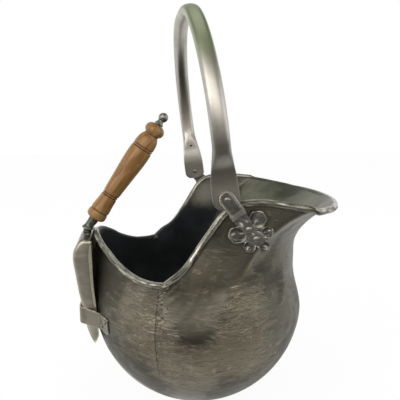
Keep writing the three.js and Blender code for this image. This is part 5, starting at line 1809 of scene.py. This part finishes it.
class SCUTTLE_OT_lugs(bpy.types.Operator):
    """Makes the two lugs with their leaves, petals and veins"""
    bl_idname = "scuttle.lugs"
    bl_label = "Lugs"

    def execute(self, context):
        for side, name in ((-1, "right"), (1, "left")):
            piece = lug_piece(f"leaf_lug_{name}", side)
            settle(piece, "scuttle", [f"lug_{name}"])
        return {"FINISHED"}


class SCUTTLE_OT_bail(bpy.types.Operator):
    """Makes the bail: flattened ends and a swollen tube between them"""
    bl_idname = "scuttle.bail"
    bl_label = "Bail"

    def execute(self, context):
        settle(bail_piece(), "bail", ["bail_handle"])
        return {"FINISHED"}


class SCUTTLE_OT_strap(bpy.types.Operator):
    """Makes the strap that holds the shovel behind the body"""
    bl_idname = "scuttle.strap"
    bl_label = "Shovel strap"

    def execute(self, context):
        settle(strap_piece(), "scuttle", ["shovel_loop"])
        return {"FINISHED"}


class SCUTTLE_OT_shovel(bpy.types.Operator):
    """Makes the shovel: scoop, neck, turned grip and ball nut"""
    bl_idname = "scuttle.shovel"
    bl_label = "Shovel"

    def execute(self, context):
        settle(scoop_piece(), "shovel", ["scoop_blade"])
        settle(neck_piece(), "shovel", ["scoop_tang"])
        settle(grip_piece(), "shovel", ["wood_grip"])
        settle(ball_nut_piece(), "shovel", ["grip_nut"])
        return {"FINISHED"}


class SCUTTLE_OT_rivets(bpy.types.Operator):
    """Makes the rivets of the body and of the shovel's neck"""
    bl_idname = "scuttle.rivets"
    bl_label = "Rivets"

    def execute(self, context):
        dome = context.scene.scuttle_sizes.rivet_dome
        piece = rivet_piece("body_rivets", scuttle_rivets(), dome)
        settle(piece, "scuttle", nodes_like("lug_rivet", "pivot_rivet", "loop_rivet"))
        piece = rivet_piece("neck_rivets", neck_rivets(), dome)
        settle(piece, "shovel", nodes_like("neck_rivet"))
        return {"FINISHED"}


OPERATORS = (
    SCUTTLE_OT_stage, SCUTTLE_OT_sheets, SCUTTLE_OT_pan, SCUTTLE_OT_seams, SCUTTLE_OT_lugs,
    SCUTTLE_OT_bail, SCUTTLE_OT_strap, SCUTTLE_OT_shovel, SCUTTLE_OT_rivets,
)


class SCUTTLE_PT_panel(bpy.types.Panel):
    """Lists the pieces and their settings"""
    bl_idname = "SCUTTLE_PT_panel"
    bl_label = "Coal scuttle"
    bl_space_type = "VIEW_3D"
    bl_region_type = "UI"
    bl_category = "Scuttle"

    def draw(self, context):
        for group in (context.scene.scuttle_sizes, context.scene.scuttle_looks):
            box = self.layout.box()
            for key in group.__annotations__:
                box.prop(group, key)
        for operator in OPERATORS:
            self.layout.operator(operator.bl_idname)


CLASSES = (ScuttleSizes, ScuttleLooks, *OPERATORS, SCUTTLE_PT_panel)


def register():
    for cls in CLASSES:
        bpy.utils.register_class(cls)
    bpy.types.Scene.scuttle_sizes = bpy.props.PointerProperty(type=ScuttleSizes)
    bpy.types.Scene.scuttle_looks = bpy.props.PointerProperty(type=ScuttleLooks)


def unregister():
    del bpy.types.Scene.scuttle_looks
    del bpy.types.Scene.scuttle_sizes
    for cls in reversed(CLASSES):
        bpy.utils.unregister_class(cls)


def main():
    register()
    for operator in OPERATORS:
        group, name = operator.bl_idname.split(".")
        getattr(getattr(bpy.ops, group), name)()


if __name__ == "__main__":
    main()
